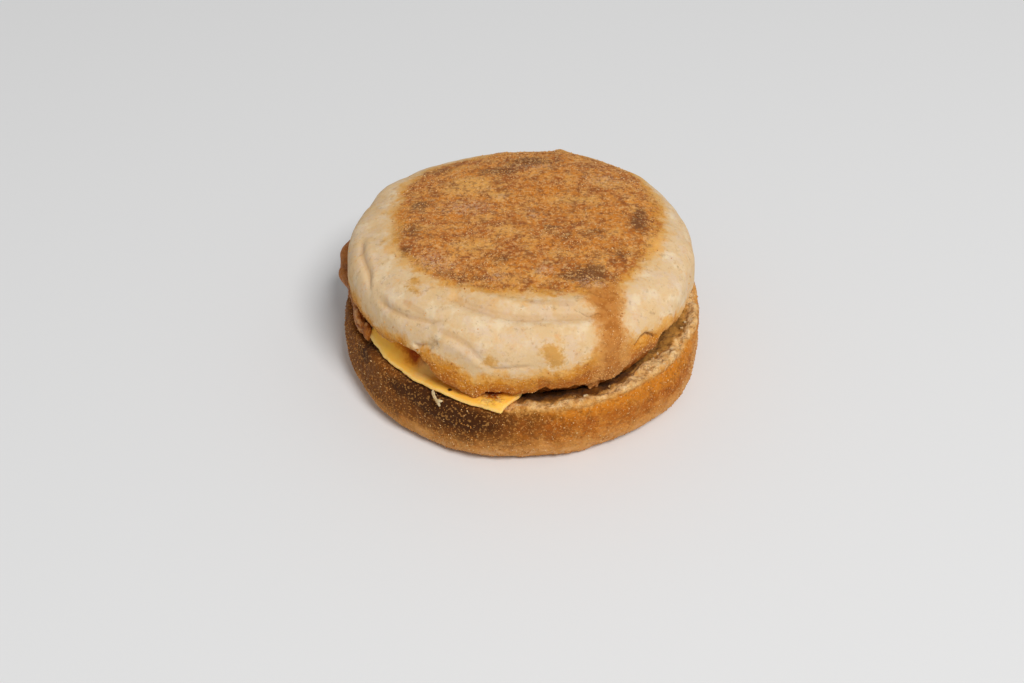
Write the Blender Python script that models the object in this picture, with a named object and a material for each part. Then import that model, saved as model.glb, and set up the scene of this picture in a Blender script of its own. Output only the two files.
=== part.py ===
"""Breakfast sandwich: a split griddled muffin with a browned meat patty and a strip of melting cheese.

The sandwich stands on the flat underside of its bottom half, with the origin at the centre of that face,
+Z up and the cheese at the front, towards -Y. Sizes are millimetres and azimuths are degrees, counted
anticlockwise from +X, until a point becomes a mesh vertex, which is in metres.
"""

import math

import bpy
import numpy as np

MM = 0.001

# Gap that separate pieces keep where they touch
CONTACT_GAP = 0.35

# Bottom half: a low round of bread with a flat griddled base and a shallow dish in its cut face
BOTTOM_SEGMENTS = 84
BOTTOM_RADIUS = ((-180, 47.7), (-150, 47.8), (-122, 47.6), (-105, 48.6), (-75, 47.7), (-38, 48.9),
                 (-26, 48.7), (-14, 47.4), (60, 47.7), (120, 47.8))
BASE_RADIUS = 42.0
FOOT_POWER = 2.4
FOOT_STEPS = 7
BELLY_HEIGHT = 8.5
SIDE_SHARES = (0.75, 0.45, 0.15)
SIDE_DIMPLE = 0.2
SIDE_DIMPLE_WAVES = (7, 4)
SIDE_DIMPLE_START = 40.0
RIM_HEIGHT = 17.0
RIM_TUCK = ((-180, 0.9), (-150, 1.5), (-122, 1.1), (-105, 2.0), (-75, 1.6), (-38, 2.4), (-26, 2.0),
            (-14, 0.4), (40, 0.1), (80, 1.1))
RIM_ROUND = 0.9
RIM_ROUND_ANGLES = (90.0, 55.0, 20.0)
RIM_LIP_INNER = 42.6
CUT_FACE_SHARES = (0.0, 0.35, 0.7, 1.0)
DISH_HEIGHT = 15.0
DISH_RADIUS = 37.5

# Patty: a browned disc of uneven outline that rides over the bread's rim at the back left and the left
PATTY_SEGMENTS = 84
PATTY_OUTLINE = ((-180, 46.4), (-172, 45.6), (-162, 45.6), (-156, 42.4), (-150, 41.6), (-132, 38.5),
                 (-90, 38.4), (-74, 40.8), (-58, 41.0), (-42, 41.2), (-24, 39.4), (20, 37.6), (90, 38.0),
                 (126, 40.5), (151, 52.4), (160, 53.0), (171, 50.4))
PATTY_THICKNESS = 6.0
PATTY_EDGE_THICKNESS = 4.3
PATTY_THINNING_START = 0.7
PATTY_EDGE_BAND = 0.06
PATTY_EDGE_POWER = 2.3
PATTY_EDGE_STEPS = 5
PATTY_TOP_SHARES = (0.35, 0.7, 0.85)
PATTY_UNDER_SHARES = (0.88, 0.82, 0.7)
PATTY_RIPPLE = 0.45
PATTY_RIPPLE_WAVES = (11, 5)
PATTY_RIPPLE_START = 30.0
PATTY_SEAT_LEAD = 1.2

# Cheese: a strip of a slice that crosses the patty and drapes over the bread's rim at the front left
CHEESE_LEFT_CORNER = (-39.3, -20.8)
CHEESE_FRONT_CORNER = (-5.1, -47.9)
CHEESE_LENGTH = 68.0
CHEESE_THICKNESS = 2.0
CHEESE_BOW = 4.2
CHEESE_BOW_REACH = 0.3
CHEESE_STEPS_ALONG = 24
CHEESE_STEPS_ACROSS = 16
CHEESE_EDGE_CROWDING = 1.5
CHEESE_DRAPE_WIDTH = 4.2
CHEESE_OVERHANG_START = 46.0
CHEESE_OVERHANG_WIDTH = 2.5
CHEESE_OVERHANG_SAG = 0.9
CHEESE_GAP = 0.55

# Top half: a domed round of bread, lifted at the front, with folds, a torn flap and a ragged lower edge
TOP_SEGMENTS = 120
TOP_RADIUS = ((-180, 46.0), (-140, 45.5), (-100, 45.5), (-60, 45.5), (-20, 45.4), (20, 44.8), (60, 46.0),
              (100, 43.8), (140, 45.8))
TOP_EDGE_HEIGHT = ((-180, 22.9), (-167, 23.6), (-158, 25.0), (-151, 24.2), (-146.5, 24.2), (-143, 24.7),
                   (-138.5, 25.6), (-131, 26.9), (-127, 28.0), (-123.8, 28.6), (-121.5, 26.0),
                   (-118, 23.3), (-114.5, 22.0), (-109.5, 20.9), (-107.3, 20.3), (-105.2, 19.4),
                   (-103.2, 20.7), (-97, 21.0), (-90, 20.4), (-82, 21.1), (-72, 20.9), (-65, 20.8),
                   (-60, 20.2), (-57, 20.9), (-53, 22.4), (-47.5, 23.3), (-44.5, 23.2), (-41.5, 23.3),
                   (-38.5, 27.6), (-34, 27.7), (-31.5, 26.3), (-28.5, 24.4), (-24, 25.0), (-18, 24.7),
                   (-12, 21.9), (0, 19.2), (60, 18.6), (118, 18.9), (136, 23.4), (168, 23.4))
TOP_EDGE_TUCK = ((-180, 0.8), (-150, 1.0), (-138, 0.4), (-127, 0.0), (-104, 0.0), (-90, 1.5), (-66, 1.5),
                 (-50, 1.4), (-30, 1.1), (-10, 1.1), (20, 1.5), (60, 1.6), (120, 1.6))
TOP_CROWN = 41.9
TOP_WAIST = 27.0
TOP_SHOULDER_POWER = ((-180, 4.0), (-135, 3.5), (-90, 3.1), (-45, 3.4), (0, 4.0), (90, 4.0))
TOP_SHOULDER_STEPS = 17
TOP_SIDE_SHARES = (0.35, 0.7, 1.0)
TOP_LIP_RADIUS = 1.2
TOP_LIP_ANGLES = (-50.0, -90.0)
TOP_UNDER_SHARES = (0.45, 1.0)
TOP_DISH_HEIGHT = 24.9
TOP_DISH_RADIUS = 38.2
TOP_TILT = 2.0
TOP_PIVOT_HEIGHT = 20.0

# Folds in the top half's pale side: stations of (azimuth, distance from the crown's centre along the
# surface), then depth, half width, and the height of the ridge above the fold
TOP_FOLDS = (
    (((-121, 35.2), (-106, 37.0), (-90, 38.2), (-76, 39.5), (-62, 41.0)), 1.3, 1.6, 0.8),
    (((-147, 46.2), (-133, 45.8), (-125, 44.6), (-113, 40.6)), 0.8, 1.2, 0.4),
    (((-176, 42.5), (-163, 43.0), (-154, 44.1), (-148, 46.8)), 0.8, 1.2, 0.3),
    (((-121, 46.5), (-117, 45.6), (-112, 45.4), (-106, 46.8), (-101, 49.6), (-97, 53.0)), 0.5, 1.4, 0.2),
)
FOLD_END_FADE = 5.0
FOLD_RIDGE_OFFSET = 2.2

# Colours as linear RGB, with roughness
CRUST_BROWN = (0.30, 0.14, 0.045)
CRUST_PALE = (0.68, 0.50, 0.30)
PATTY_BROWN = (0.20, 0.085, 0.03)
CHEESE_YELLOW = (0.86, 0.47, 0.06)
BREAD_ROUGHNESS = 0.85
PATTY_ROUGHNESS = 0.6
CHEESE_ROUGHNESS = 0.45

# Angles above which an edge is shaded sharp
BREAD_SHARP_ANGLE = 50.0
PATTY_SHARP_ANGLE = 60.0
CHEESE_SHARP_ANGLE = 40.0


def clear_scene():
    """Remove every object of the scene, so that the script can be run again."""
    for obj in list(bpy.data.objects):
        bpy.data.objects.remove(obj, do_unlink=True)


def ease(share):
    """Turn a share that runs from 0 to 1 into one that starts and stops gently."""
    share = np.clip(share, 0.0, 1.0)
    return share * share * (3.0 - 2.0 * share)


def around(azimuth, stations):
    """Ease a value between (azimuth, value) stations that run once round the axis."""
    turns = np.array([station[0] for station in stations] + [stations[0][0] + 360.0])
    values = np.array([station[1] for station in stations] + [stations[0][1]])
    turned = (np.asarray(azimuth, float) - turns[0]) % 360.0 + turns[0]
    index = np.clip(np.searchsorted(turns, turned, side="right") - 1, 0, len(stations) - 1)
    share = (turned - turns[index]) / (turns[index + 1] - turns[index])
    return values[index] + (values[index + 1] - values[index]) * ease(share)


def ring_azimuths(segments):
    """Azimuths of one ring of points, from -180 up to but not including 180."""
    return -180.0 + np.arange(segments) * 360.0 / segments


def waves(azimuth, counts, start):
    """Gentle unevenness from -1 to 1: so many waves round, whose height another number of waves changes."""
    return np.cos(np.radians(azimuth * counts[0] + start)) * np.cos(np.radians(azimuth * counts[1]))


def polar_points(azimuth, radius, height):
    """Points from cylindrical coordinates, as an array whose last axis is x, y, z."""
    turn, radius, height = np.broadcast_arrays(np.radians(azimuth), radius, height)
    return np.stack([radius * np.cos(turn), radius * np.sin(turn), height], axis=-1)


def superellipse(power, steps):
    """Quarter of a superellipse from (0, 1) to (1, 0), as two arrays: share outwards and share upwards.

    The power is one number, or an array with one number for each azimuth.
    """
    angle = np.radians(np.linspace(90.0, 0.0, steps))
    if np.ndim(power):
        angle = angle[:, None]
    reach = (np.cos(angle) ** power + np.sin(angle) ** power) ** (-1.0 / power)
    return np.clip(np.cos(angle) * reach, 0.0, 1.0), np.clip(np.sin(angle) * reach, 0.0, 1.0)


def cut_face_height(radius):
    """Height of the bottom half's cut face: a rim that slopes down into a shallow dish."""
    share = (radius - DISH_RADIUS) / (RIM_LIP_INNER - DISH_RADIUS)
    return DISH_HEIGHT + (RIM_HEIGHT - DISH_HEIGHT) * ease(share)


def patty_seat_height(radius):
    """Height of the patty's underside, which starts to rise just inside the bread's own slope."""
    return cut_face_height(radius + PATTY_SEAT_LEAD) + CONTACT_GAP


def patty_top_height(radius_share, radius):
    """Height of the patty's upper face at a share of its own radius and at a distance from the axis."""
    thinning = ease((radius_share - PATTY_THINNING_START) / (1.0 - PATTY_THINNING_START))
    return patty_seat_height(radius) + PATTY_THICKNESS + (PATTY_EDGE_THICKNESS - PATTY_THICKNESS) * thinning


def bottom_half_rings():
    """Rings of the bottom half, from the dish's edge out over the rim and down to the base."""
    azimuth = ring_azimuths(BOTTOM_SEGMENTS)
    dimples = SIDE_DIMPLE * waves(azimuth, SIDE_DIMPLE_WAVES, SIDE_DIMPLE_START)
    belly = around(azimuth, BOTTOM_RADIUS) + dimples
    tuck = around(azimuth, RIM_TUCK)
    rim = belly - tuck
    rings = []
    for share in CUT_FACE_SHARES:
        radius = DISH_RADIUS + (RIM_LIP_INNER - DISH_RADIUS) * share
        rings.append(polar_points(azimuth, radius, cut_face_height(radius)))
    for angle in RIM_ROUND_ANGLES:
        turn = math.radians(angle)
        radius = rim - RIM_ROUND * (1 - math.cos(turn))
        rings.append(polar_points(azimuth, radius, RIM_HEIGHT - RIM_ROUND * (1 - math.sin(turn))))
    for share in SIDE_SHARES:
        height = BELLY_HEIGHT + (RIM_HEIGHT - RIM_ROUND - BELLY_HEIGHT) * share
        rings.append(polar_points(azimuth, belly - tuck * share ** 2, height))
    outwards, upwards = superellipse(FOOT_POWER, FOOT_STEPS)
    for out, up in zip(outwards[::-1], upwards[::-1]):
        radius = BASE_RADIUS + (belly - BASE_RADIUS) * out
        rings.append(polar_points(azimuth, radius, BELLY_HEIGHT * (1.0 - up)))
    return rings


def patty_rings():
    """Rings of the patty, from the middle of its upper face over the rounded edge to its underside."""
    azimuth = ring_azimuths(PATTY_SEGMENTS)
    ripple = PATTY_RIPPLE * waves(azimuth, PATTY_RIPPLE_WAVES, PATTY_RIPPLE_START)
    outline = around(azimuth, PATTY_OUTLINE) + ripple
    rings = []
    for share in PATTY_TOP_SHARES:
        rings.append(polar_points(azimuth, outline * share, patty_top_height(share, outline * share)))
    outwards, upwards = superellipse(PATTY_EDGE_POWER, PATTY_EDGE_STEPS)
    edge_band = outline * PATTY_EDGE_BAND
    half = PATTY_EDGE_THICKNESS / 2
    for side in (1.0, -1.0):
        shares = zip(outwards, upwards) if side > 0 else zip(outwards[-2::-1], upwards[-2::-1])
        for out, up in shares:
            radius = outline - edge_band * (1.0 - out)
            height = patty_seat_height(radius) + half * (1.0 + side * up)
            rings.append(polar_points(azimuth, radius, height))
    for share in PATTY_UNDER_SHARES:
        rings.append(polar_points(azimuth, outline * share, patty_seat_height(outline * share)))
    return rings


def tilt_forward(points):
    """Tip points of the top half back about the X direction, so that its front stands higher."""
    turn = math.radians(TOP_TILT)
    rise = points[..., 2] - TOP_PIVOT_HEIGHT
    tipped = points.copy()
    tipped[..., 1] = points[..., 1] * math.cos(turn) + rise * math.sin(turn)
    tipped[..., 2] = TOP_PIVOT_HEIGHT - points[..., 1] * math.sin(turn) + rise * math.cos(turn)
    return tipped


def fold_relief(azimuth, distance):
    """Offset along the surface's normal that the folds give at an azimuth and a distance from the crown."""
    relief = np.zeros(np.broadcast(azimuth, distance).shape)
    for stations, depth, width, ridge in TOP_FOLDS:
        turns = [station[0] for station in stations]
        middle = np.interp(azimuth, turns, [station[1] for station in stations])
        fade = ease((azimuth - turns[0]) / FOLD_END_FADE) * ease((turns[-1] - azimuth) / FOLD_END_FADE)
        across = (distance - middle) / width
        relief -= fade * depth * np.exp(-across ** 2)
        relief += fade * ridge * np.exp(-(across + FOLD_RIDGE_OFFSET) ** 2)
    return relief


def displaced(points, azimuth):
    """Push the grid of the top half's outer skin in and out along its normals by the folds' relief."""
    steps = np.linalg.norm(np.diff(points, axis=0), axis=2)
    distance = np.concatenate([np.zeros((1, points.shape[1])), np.cumsum(steps, axis=0)]) + np.linalg.norm(
        points[0, :, :2], axis=1)
    along = np.gradient(points, axis=0)
    across = np.roll(points, -1, axis=1) - np.roll(points, 1, axis=1)
    normal = np.cross(along, across)
    normal /= np.linalg.norm(normal, axis=2, keepdims=True)
    return points + normal * fold_relief(azimuth[None, :], distance)[..., None]


def top_half_rings():
    """Rings of the top half, from the crown over the shoulder and down the side, then under the edge."""
    azimuth = ring_azimuths(TOP_SEGMENTS)
    girth = around(azimuth, TOP_RADIUS)
    slope = math.sin(math.radians(TOP_TILT)) * np.sin(np.radians(azimuth))
    edge = around(azimuth, TOP_EDGE_HEIGHT) + slope * girth
    tuck = around(azimuth, TOP_EDGE_TUCK)
    skin = []
    outwards, upwards = superellipse(around(azimuth, TOP_SHOULDER_POWER), TOP_SHOULDER_STEPS)
    for out, up in zip(outwards[1:], upwards[1:]):
        skin.append(polar_points(azimuth, girth * out, TOP_WAIST + (TOP_CROWN - TOP_WAIST) * up))
    side_foot = edge + TOP_LIP_RADIUS
    for share in TOP_SIDE_SHARES:
        radius = girth - tuck * share ** 2
        skin.append(polar_points(azimuth, radius, TOP_WAIST + (side_foot - TOP_WAIST) * share))
    rings = list(displaced(np.array(skin), azimuth))
    lip_middle = girth - tuck - TOP_LIP_RADIUS
    for angle in TOP_LIP_ANGLES:
        turn = math.radians(angle)
        radius = lip_middle + TOP_LIP_RADIUS * math.cos(turn)
        rings.append(polar_points(azimuth, radius, side_foot + TOP_LIP_RADIUS * math.sin(turn)))
    for share in TOP_UNDER_SHARES:
        radius = lip_middle + (TOP_DISH_RADIUS - lip_middle) * share
        level = TOP_DISH_HEIGHT + slope * radius
        rings.append(polar_points(azimuth, radius, edge + (level - edge) * ease(share)))
    return [tilt_forward(ring) for ring in rings]


def polar_mesh(name, rings, domed):
    """One closed body from rings that run from the upper face's middle to the underside's.

    A domed body closes over a point above its first ring, a dished one with a flat face. Both end in a flat
    face.
    """
    segments = len(rings[0])
    vertices = [tuple(point * MM) for ring in rings for point in ring]
    faces = []
    for row in range(len(rings) - 1):
        for step in range(segments):
            after = (step + 1) % segments
            faces.append((row * segments + step, (row + 1) * segments + step,
                          (row + 1) * segments + after, row * segments + after))
    if domed:
        vertices.append(tuple(rings[0].mean(axis=0) * MM))
        centre = len(vertices) - 1
        faces.extend((centre, step, (step + 1) % segments) for step in range(segments))
    else:
        faces.append(tuple(range(segments)))
    last = (len(rings) - 1) * segments
    faces.append(tuple(last + step for step in reversed(range(segments))))
    mesh = bpy.data.meshes.new(name)
    mesh.from_pydata(vertices, [], faces)
    return mesh


def cheese_plan(along, across):
    """Plan position on the strip: along is 0 at the outer edge, across is 0 at the left corner."""
    left = np.array(CHEESE_LEFT_CORNER)
    side = np.array(CHEESE_FRONT_CORNER) - left
    inward = np.array([-side[1], side[0]]) / np.linalg.norm(side)
    bow = CHEESE_BOW * 4.0 * across * (1.0 - across) * (1.0 - ease(along / CHEESE_BOW_REACH))
    return left + side * across[..., None] + inward * (CHEESE_LENGTH * along - bow)[..., None]


def cheese_seat_height(plan):
    """Height of the cheese's underside: on the patty inside, draped down to the bread's rim outside."""
    radius = np.linalg.norm(plan, axis=-1)
    patty_edge = around(np.degrees(np.arctan2(plan[..., 1], plan[..., 0])), PATTY_OUTLINE)
    share = np.minimum(radius / patty_edge, 1.0)
    on_patty = patty_top_height(share, np.minimum(radius, patty_edge)) + CHEESE_GAP
    on_rim = RIM_HEIGHT + CONTACT_GAP
    drape = ease((radius - patty_edge) / CHEESE_DRAPE_WIDTH)
    overhang = CHEESE_OVERHANG_SAG * ease((radius - CHEESE_OVERHANG_START) / CHEESE_OVERHANG_WIDTH)
    return on_patty + (on_rim - on_patty) * drape - overhang


def cheese_mesh(name):
    """The strip of cheese as one closed sheet, with both faces split alike."""
    shares_along = np.linspace(0, 1, CHEESE_STEPS_ALONG + 1) ** CHEESE_EDGE_CROWDING
    shares_across = np.linspace(0, 1, CHEESE_STEPS_ACROSS + 1)
    along, across = np.meshgrid(shares_along, shares_across, indexing="ij")
    plan = cheese_plan(along, across)
    seat = cheese_seat_height(plan)
    under = np.concatenate([plan, seat[..., None]], axis=-1)
    over = under + np.array([0.0, 0.0, CHEESE_THICKNESS])
    rows, columns = seat.shape
    vertices = [tuple(point * MM) for sheet in (over, under) for point in sheet.reshape(-1, 3)]
    lower = rows * columns
    faces = []
    for row in range(rows - 1):
        for column in range(columns - 1):
            corner = row * columns + column
            quad = (corner, corner + 1, corner + columns + 1, corner + columns)
            faces.append(quad)
            faces.append(tuple(lower + index for index in reversed(quad)))
    front = list(range(columns))
    right = [row * columns + columns - 1 for row in range(rows)]
    back = [(rows - 1) * columns + column for column in reversed(range(columns))]
    left = [row * columns for row in reversed(range(rows))]
    outline = front[:-1] + right[:-1] + back[:-1] + left[:-1]
    for step, index in enumerate(outline):
        after = outline[(step + 1) % len(outline)]
        faces.append((after, index, lower + index, lower + after))
    mesh = bpy.data.meshes.new(name)
    mesh.from_pydata(vertices, [], faces)
    return mesh


def food_material(name, colour, roughness):
    """A plain material with one colour and roughness."""
    material = bpy.data.materials.new(name)
    material.use_nodes = True
    shader = material.node_tree.nodes["Principled BSDF"]
    shader.inputs["Base Color"].default_value = (*colour, 1.0)
    shader.inputs["Roughness"].default_value = roughness
    shader.inputs["Metallic"].default_value = 0.0
    return material


def add_object(mesh, material, sharp_angle):
    """Put a mesh into the scene as an object of the mesh's name, shaded smooth up to an angle."""
    mesh.materials.append(material)
    mesh.shade_smooth()
    mesh.set_sharp_from_angle(angle=math.radians(sharp_angle))
    obj = bpy.data.objects.new(mesh.name, mesh)
    bpy.context.scene.collection.objects.link(obj)
    return obj


def main():
    """Build the four pieces of the sandwich from the bottom up."""
    clear_scene()
    add_object(polar_mesh("bottom_muffin", bottom_half_rings(), domed=False),
               food_material("griddled_crust", CRUST_BROWN, BREAD_ROUGHNESS), BREAD_SHARP_ANGLE)
    add_object(polar_mesh("sausage_patty", patty_rings(), domed=True),
               food_material("browned_meat", PATTY_BROWN, PATTY_ROUGHNESS), PATTY_SHARP_ANGLE)
    add_object(cheese_mesh("cheese_slice"),
               food_material("melting_cheese", CHEESE_YELLOW, CHEESE_ROUGHNESS), CHEESE_SHARP_ANGLE)
    add_object(polar_mesh("top_muffin", top_half_rings(), domed=True),
               food_material("pale_crust", CRUST_PALE, BREAD_ROUGHNESS), BREAD_SHARP_ANGLE)


main()
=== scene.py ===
"""Looks of a breakfast sandwich: a split griddled muffin round a browned patty and a strip of cheese.

Sizes are millimetres, and become metres only in meshes and textures. Azimuths are degrees, anticlockwise
from +X, and the front is towards -Y. Each piece of the food is a class with its sizes, its relief and its
finish. A distance on the top half is counted from the crown's centre along the skin.
"""

import itertools
import logging
import math
from collections.abc import Sequence
from dataclasses import dataclass, field
from enum import Enum

import bmesh
import bpy
import numpy as np
from mathutils import Matrix, Vector


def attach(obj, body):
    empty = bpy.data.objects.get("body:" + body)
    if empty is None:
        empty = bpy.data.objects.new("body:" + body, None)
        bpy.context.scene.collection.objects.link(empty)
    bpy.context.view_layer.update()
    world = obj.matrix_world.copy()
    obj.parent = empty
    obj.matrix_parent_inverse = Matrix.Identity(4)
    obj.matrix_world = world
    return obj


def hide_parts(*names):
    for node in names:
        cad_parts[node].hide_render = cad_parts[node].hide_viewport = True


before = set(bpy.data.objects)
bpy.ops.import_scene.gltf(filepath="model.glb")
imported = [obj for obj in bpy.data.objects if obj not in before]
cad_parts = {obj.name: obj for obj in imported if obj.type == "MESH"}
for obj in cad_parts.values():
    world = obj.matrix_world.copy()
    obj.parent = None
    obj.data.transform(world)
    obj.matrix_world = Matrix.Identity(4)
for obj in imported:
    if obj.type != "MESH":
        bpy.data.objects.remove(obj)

LOG = logging.getLogger("sandwich")
MM = 0.001
BODY = "root"
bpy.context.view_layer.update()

# What a field holds where its zone can't be: well outside it, in millimetres.
OUTSIDE = -9.0
# Noise textures stay between these two values nearly everywhere.
NOISE_LOW, NOISE_HIGH = 0.3, 0.7
# Large odd numbers and shifts, as integer hashing uses them, so that neighbouring cells get unlike values.
CELL_PRIMES = (73856093, 19349663, 83492791)
SEED_PRIME = 374761393
MIXING = ((15, 2246822519), (13, 3266489917))
LAST_SHIFT = 16
WORD = 0xFFFFFFFF
HALF_WORD = 0xFFFF

Array = np.ndarray
Stations = tuple[tuple[float, float], ...]
Places = tuple[tuple[float, float, float], ...]
Faces = list[Sequence[int]]
Mask = bpy.types.NodeSocket | float


def ease(share: Array) -> Array:
    """Turn a share that runs from 0 to 1 into one that starts and stops gently."""
    share = np.clip(share, 0.0, 1.0)
    return share * share * (3.0 - 2.0 * share)


def inside(depth: Array, soft: float, start: float = 0.5) -> Array:
    """Fade in across a zone's edge.

    Args:
        depth: Millimetres inside the zone.
        soft: Width of the fade.
        start: Share of that width which lies outside the edge.

    Returns:
        Shares from 0 outside to 1 inside.
    """
    return ease(depth / soft + start)


def around(azimuth: Array, stations: Stations) -> Array:
    """Ease a value between (azimuth, value) stations that run once round the axis.

    Args:
        azimuth: Degrees, any turn.
        stations: Azimuths in rising order, each with its value.

    Returns:
        The value at each azimuth.
    """
    turns = np.array([station[0] for station in stations] + [stations[0][0] + 360.0])
    values = np.array([station[1] for station in stations] + [stations[0][1]])
    turned = (np.asarray(azimuth, float) - turns[0]) % 360.0 + turns[0]
    index = np.clip(np.searchsorted(turns, turned, side="right") - 1, 0, len(stations) - 1)
    share = (turned - turns[index]) / (turns[index + 1] - turns[index])
    return values[index] + (values[index + 1] - values[index]) * ease(share)


def turn_between(azimuth: Array, middle: float) -> Array:
    """Degrees from a middle azimuth, from -180 to 180."""
    return (np.asarray(azimuth, float) - middle + 180.0) % 360.0 - 180.0


def waves(azimuth: Array, counts: tuple[int, int], start: float) -> Array:
    """Gentle unevenness from -1 to 1: so many waves round, whose height another number of waves changes."""
    return np.cos(np.radians(azimuth * counts[0] + start)) * np.cos(np.radians(azimuth * counts[1]))


def azimuths(segments: int) -> Array:
    """Evenly spaced azimuths once round the axis."""
    return -180.0 + np.arange(segments) * 360.0 / segments


def polar_points(azimuth: Array, radius: Array, height: Array) -> Array:
    """Points from cylindrical coordinates, as an array whose last axis is x, y, z."""
    turn, radius, height = np.broadcast_arrays(np.radians(azimuth), radius, height)
    return np.stack([radius * np.cos(turn), radius * np.sin(turn), height], axis=-1)


def profile(radius: Array | float, height: Array | float, azimuth: Array) -> Array:
    """Radius and height of an outline's points, with a column for each azimuth."""
    return np.stack(np.broadcast_arrays(radius, height, azimuth)[:2], axis=-1)


def superellipse(power: Array, steps: int) -> tuple[Array, Array]:
    """Quarter of a superellipse from (0, 1) to (1, 0).

    Args:
        power: One number, or one for each azimuth; 2 is an ellipse and more is squarer.
        steps: Number of points.

    Returns:
        The shares outwards and upwards, with a row for each point.
    """
    angle = np.radians(np.linspace(90.0, 0.0, steps))[:, None]
    reach = (np.cos(angle) ** power + np.sin(angle) ** power) ** (-1.0 / power)
    return np.clip(np.cos(angle) * reach, 0.0, 1.0), np.clip(np.sin(angle) * reach, 0.0, 1.0)


def resampled(outline: Array, rows: int) -> Array:
    """Space the points of each azimuth's outline evenly along its length.

    Args:
        outline: Radius and height, indexed by point, azimuth and coordinate.
        rows: Number of points wanted.

    Returns:
        The same outlines with rows points each.
    """
    length = travelled(outline)
    share = np.linspace(0.0, 1.0, rows)
    spaced = np.empty((rows,) + outline.shape[1:])
    for column in range(outline.shape[1]):
        wanted = share * length[-1, column]
        for axis in range(2):
            spaced[:, column, axis] = np.interp(wanted, length[:, column], outline[:, column, axis])
    return spaced


def travelled(outline: Array) -> Array:
    """Length along each azimuth's outline from its first point to each of its points."""
    steps = np.linalg.norm(np.diff(outline, axis=0), axis=2)
    return np.concatenate([np.zeros((1, outline.shape[1])), np.cumsum(steps, axis=0)])


def unit(vectors: Array) -> Array:
    """Scale vectors on the last axis to a length of 1."""
    return vectors / np.maximum(np.linalg.norm(vectors, axis=-1, keepdims=True), 1e-9)


def outward(points: Array) -> Array:
    """Directions straight out of a skin.

    Args:
        points: Its points, indexed by ring, azimuth and coordinate.

    Returns:
        A vector of length 1 for each.
    """
    along = np.gradient(points, axis=0)
    across = np.roll(points, -1, axis=1) - np.roll(points, 1, axis=1)
    return unit(np.cross(along, across))


def linear(code: str) -> tuple[float, float, float, float]:
    """Turn an sRGB hex code into a linear colour with full alpha."""
    shares = [int(code[start:start + 2], 16) / 255.0 for start in (1, 3, 5)]
    return tuple(s / 12.92 if s <= 0.04045 else ((s + 0.055) / 1.055) ** 2.4 for s in shares) + (1.0,)


def new_mesh(name: str, points: Array, faces: Faces,
             fields: dict[str, Array] | None = None) -> bpy.types.Mesh:
    """Make a mesh that is shaded smooth.

    Args:
        name: The mesh's name.
        points: Its points in millimetres, one to a row.
        faces: The points' numbers round each face.
        fields: A number for each point, under the name by which a finish reads it.

    Returns:
        The mesh, in metres.
    """
    mesh = bpy.data.meshes.new(name)
    mesh.from_pydata((points * MM).tolist(), [], faces)
    for key, values in (fields or {}).items():
        attribute = mesh.attributes.new(key, "FLOAT", "POINT")
        attribute.data.foreach_set("value", np.asarray(values, np.float32).ravel())
    mesh.shade_smooth()
    return mesh


def listed_faces(*corners: Array) -> Faces:
    """Faces from an array of point numbers for each of their corners."""
    return list(zip(*(corner.ravel().tolist() for corner in corners)))


@dataclass(frozen=True)
class Lumps:
    """Smooth random unevenness in space, the same on every run.

    The gain makes up for the evening out between cells, so that peaks reach about the stated height.
    """

    size: float
    height: float
    seed: int
    gain: float = 1.6

    def at(self, points: Array) -> Array:
        """Offsets at some points.

        Args:
            points: Places in millimetres, with x, y, z on the last axis.

        Returns:
            Millimetres, from about minus to plus the lumps' height.
        """
        place = points / self.size
        base = np.floor(place).astype(np.int64)
        share = place - base
        # Eased so that the lumps' slope doesn't change at once where two cells meet.
        share = share ** 3 * (share * (share * 6.0 - 15.0) + 10.0)
        total = np.zeros(points.shape[:-1])
        for corner in itertools.product((0, 1), repeat=3):
            weight = np.prod(np.where(corner, share, 1.0 - share), axis=-1)
            total += weight * self.scattered(base + np.array(corner))
        return total * self.height * self.gain

    def scattered(self, cells: Array) -> Array:
        """Numbers for whole-numbered cells, mixed from the bits of their coordinates.

        Args:
            cells: x, y and z on the last axis.

        Returns:
            A number from -1 to 1 for each.
        """
        first, second, third = (cells[..., axis] * prime for axis, prime in enumerate(CELL_PRIMES))
        mixed = ((first ^ second ^ third) + self.seed * SEED_PRIME) & WORD
        for shift, factor in MIXING:
            mixed = ((mixed ^ (mixed >> shift)) * factor) & WORD
        return ((mixed ^ (mixed >> LAST_SHIFT)) & HALF_WORD) / (HALF_WORD / 2) - 1.0


def lumpy(lumps: tuple[Lumps, ...], points: Array) -> Array:
    """Offsets of several sizes of lumps together."""
    return sum(lump.at(points) for lump in lumps)


@dataclass(frozen=True)
class Oval:
    """A soft oval mark: its middle, half sizes, turn in degrees and strength.

    On a face seen from above its middle is x and y. On a side it is an azimuth and a second measure: the
    distance along the top half's skin, the height on the bottom half or the patty's radius.
    """

    first: float
    second: float
    along: float
    across: float
    turn: float = 0.0
    strength: float = 1.0

    def fade(self, side: Array, out: Array) -> Array:
        """Strength of the mark at some offsets.

        Args:
            side: Millimetres sideways from the middle.
            out: Millimetres the other way.

        Returns:
            The full strength in the middle, a third of it at the half sizes and 0 further out.
        """
        turn = math.radians(self.turn)
        along = (side * math.cos(turn) + out * math.sin(turn)) / self.along
        across = (out * math.cos(turn) - side * math.sin(turn)) / self.across
        return self.strength * np.exp(-(along ** 2 + across ** 2))

    def on_face(self, points: Array) -> Array:
        """Strength at points of a face that is seen from above."""
        return self.fade(points[..., 0] - self.first, points[..., 1] - self.second)

    def on_side(self, azimuth: Array, measure: Array, radius: Array) -> Array:
        """Strength on a side, from azimuths, the second measure and distances from the axis."""
        side = np.radians(turn_between(azimuth, self.first)) * radius
        return self.fade(side, measure - self.second)


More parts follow.
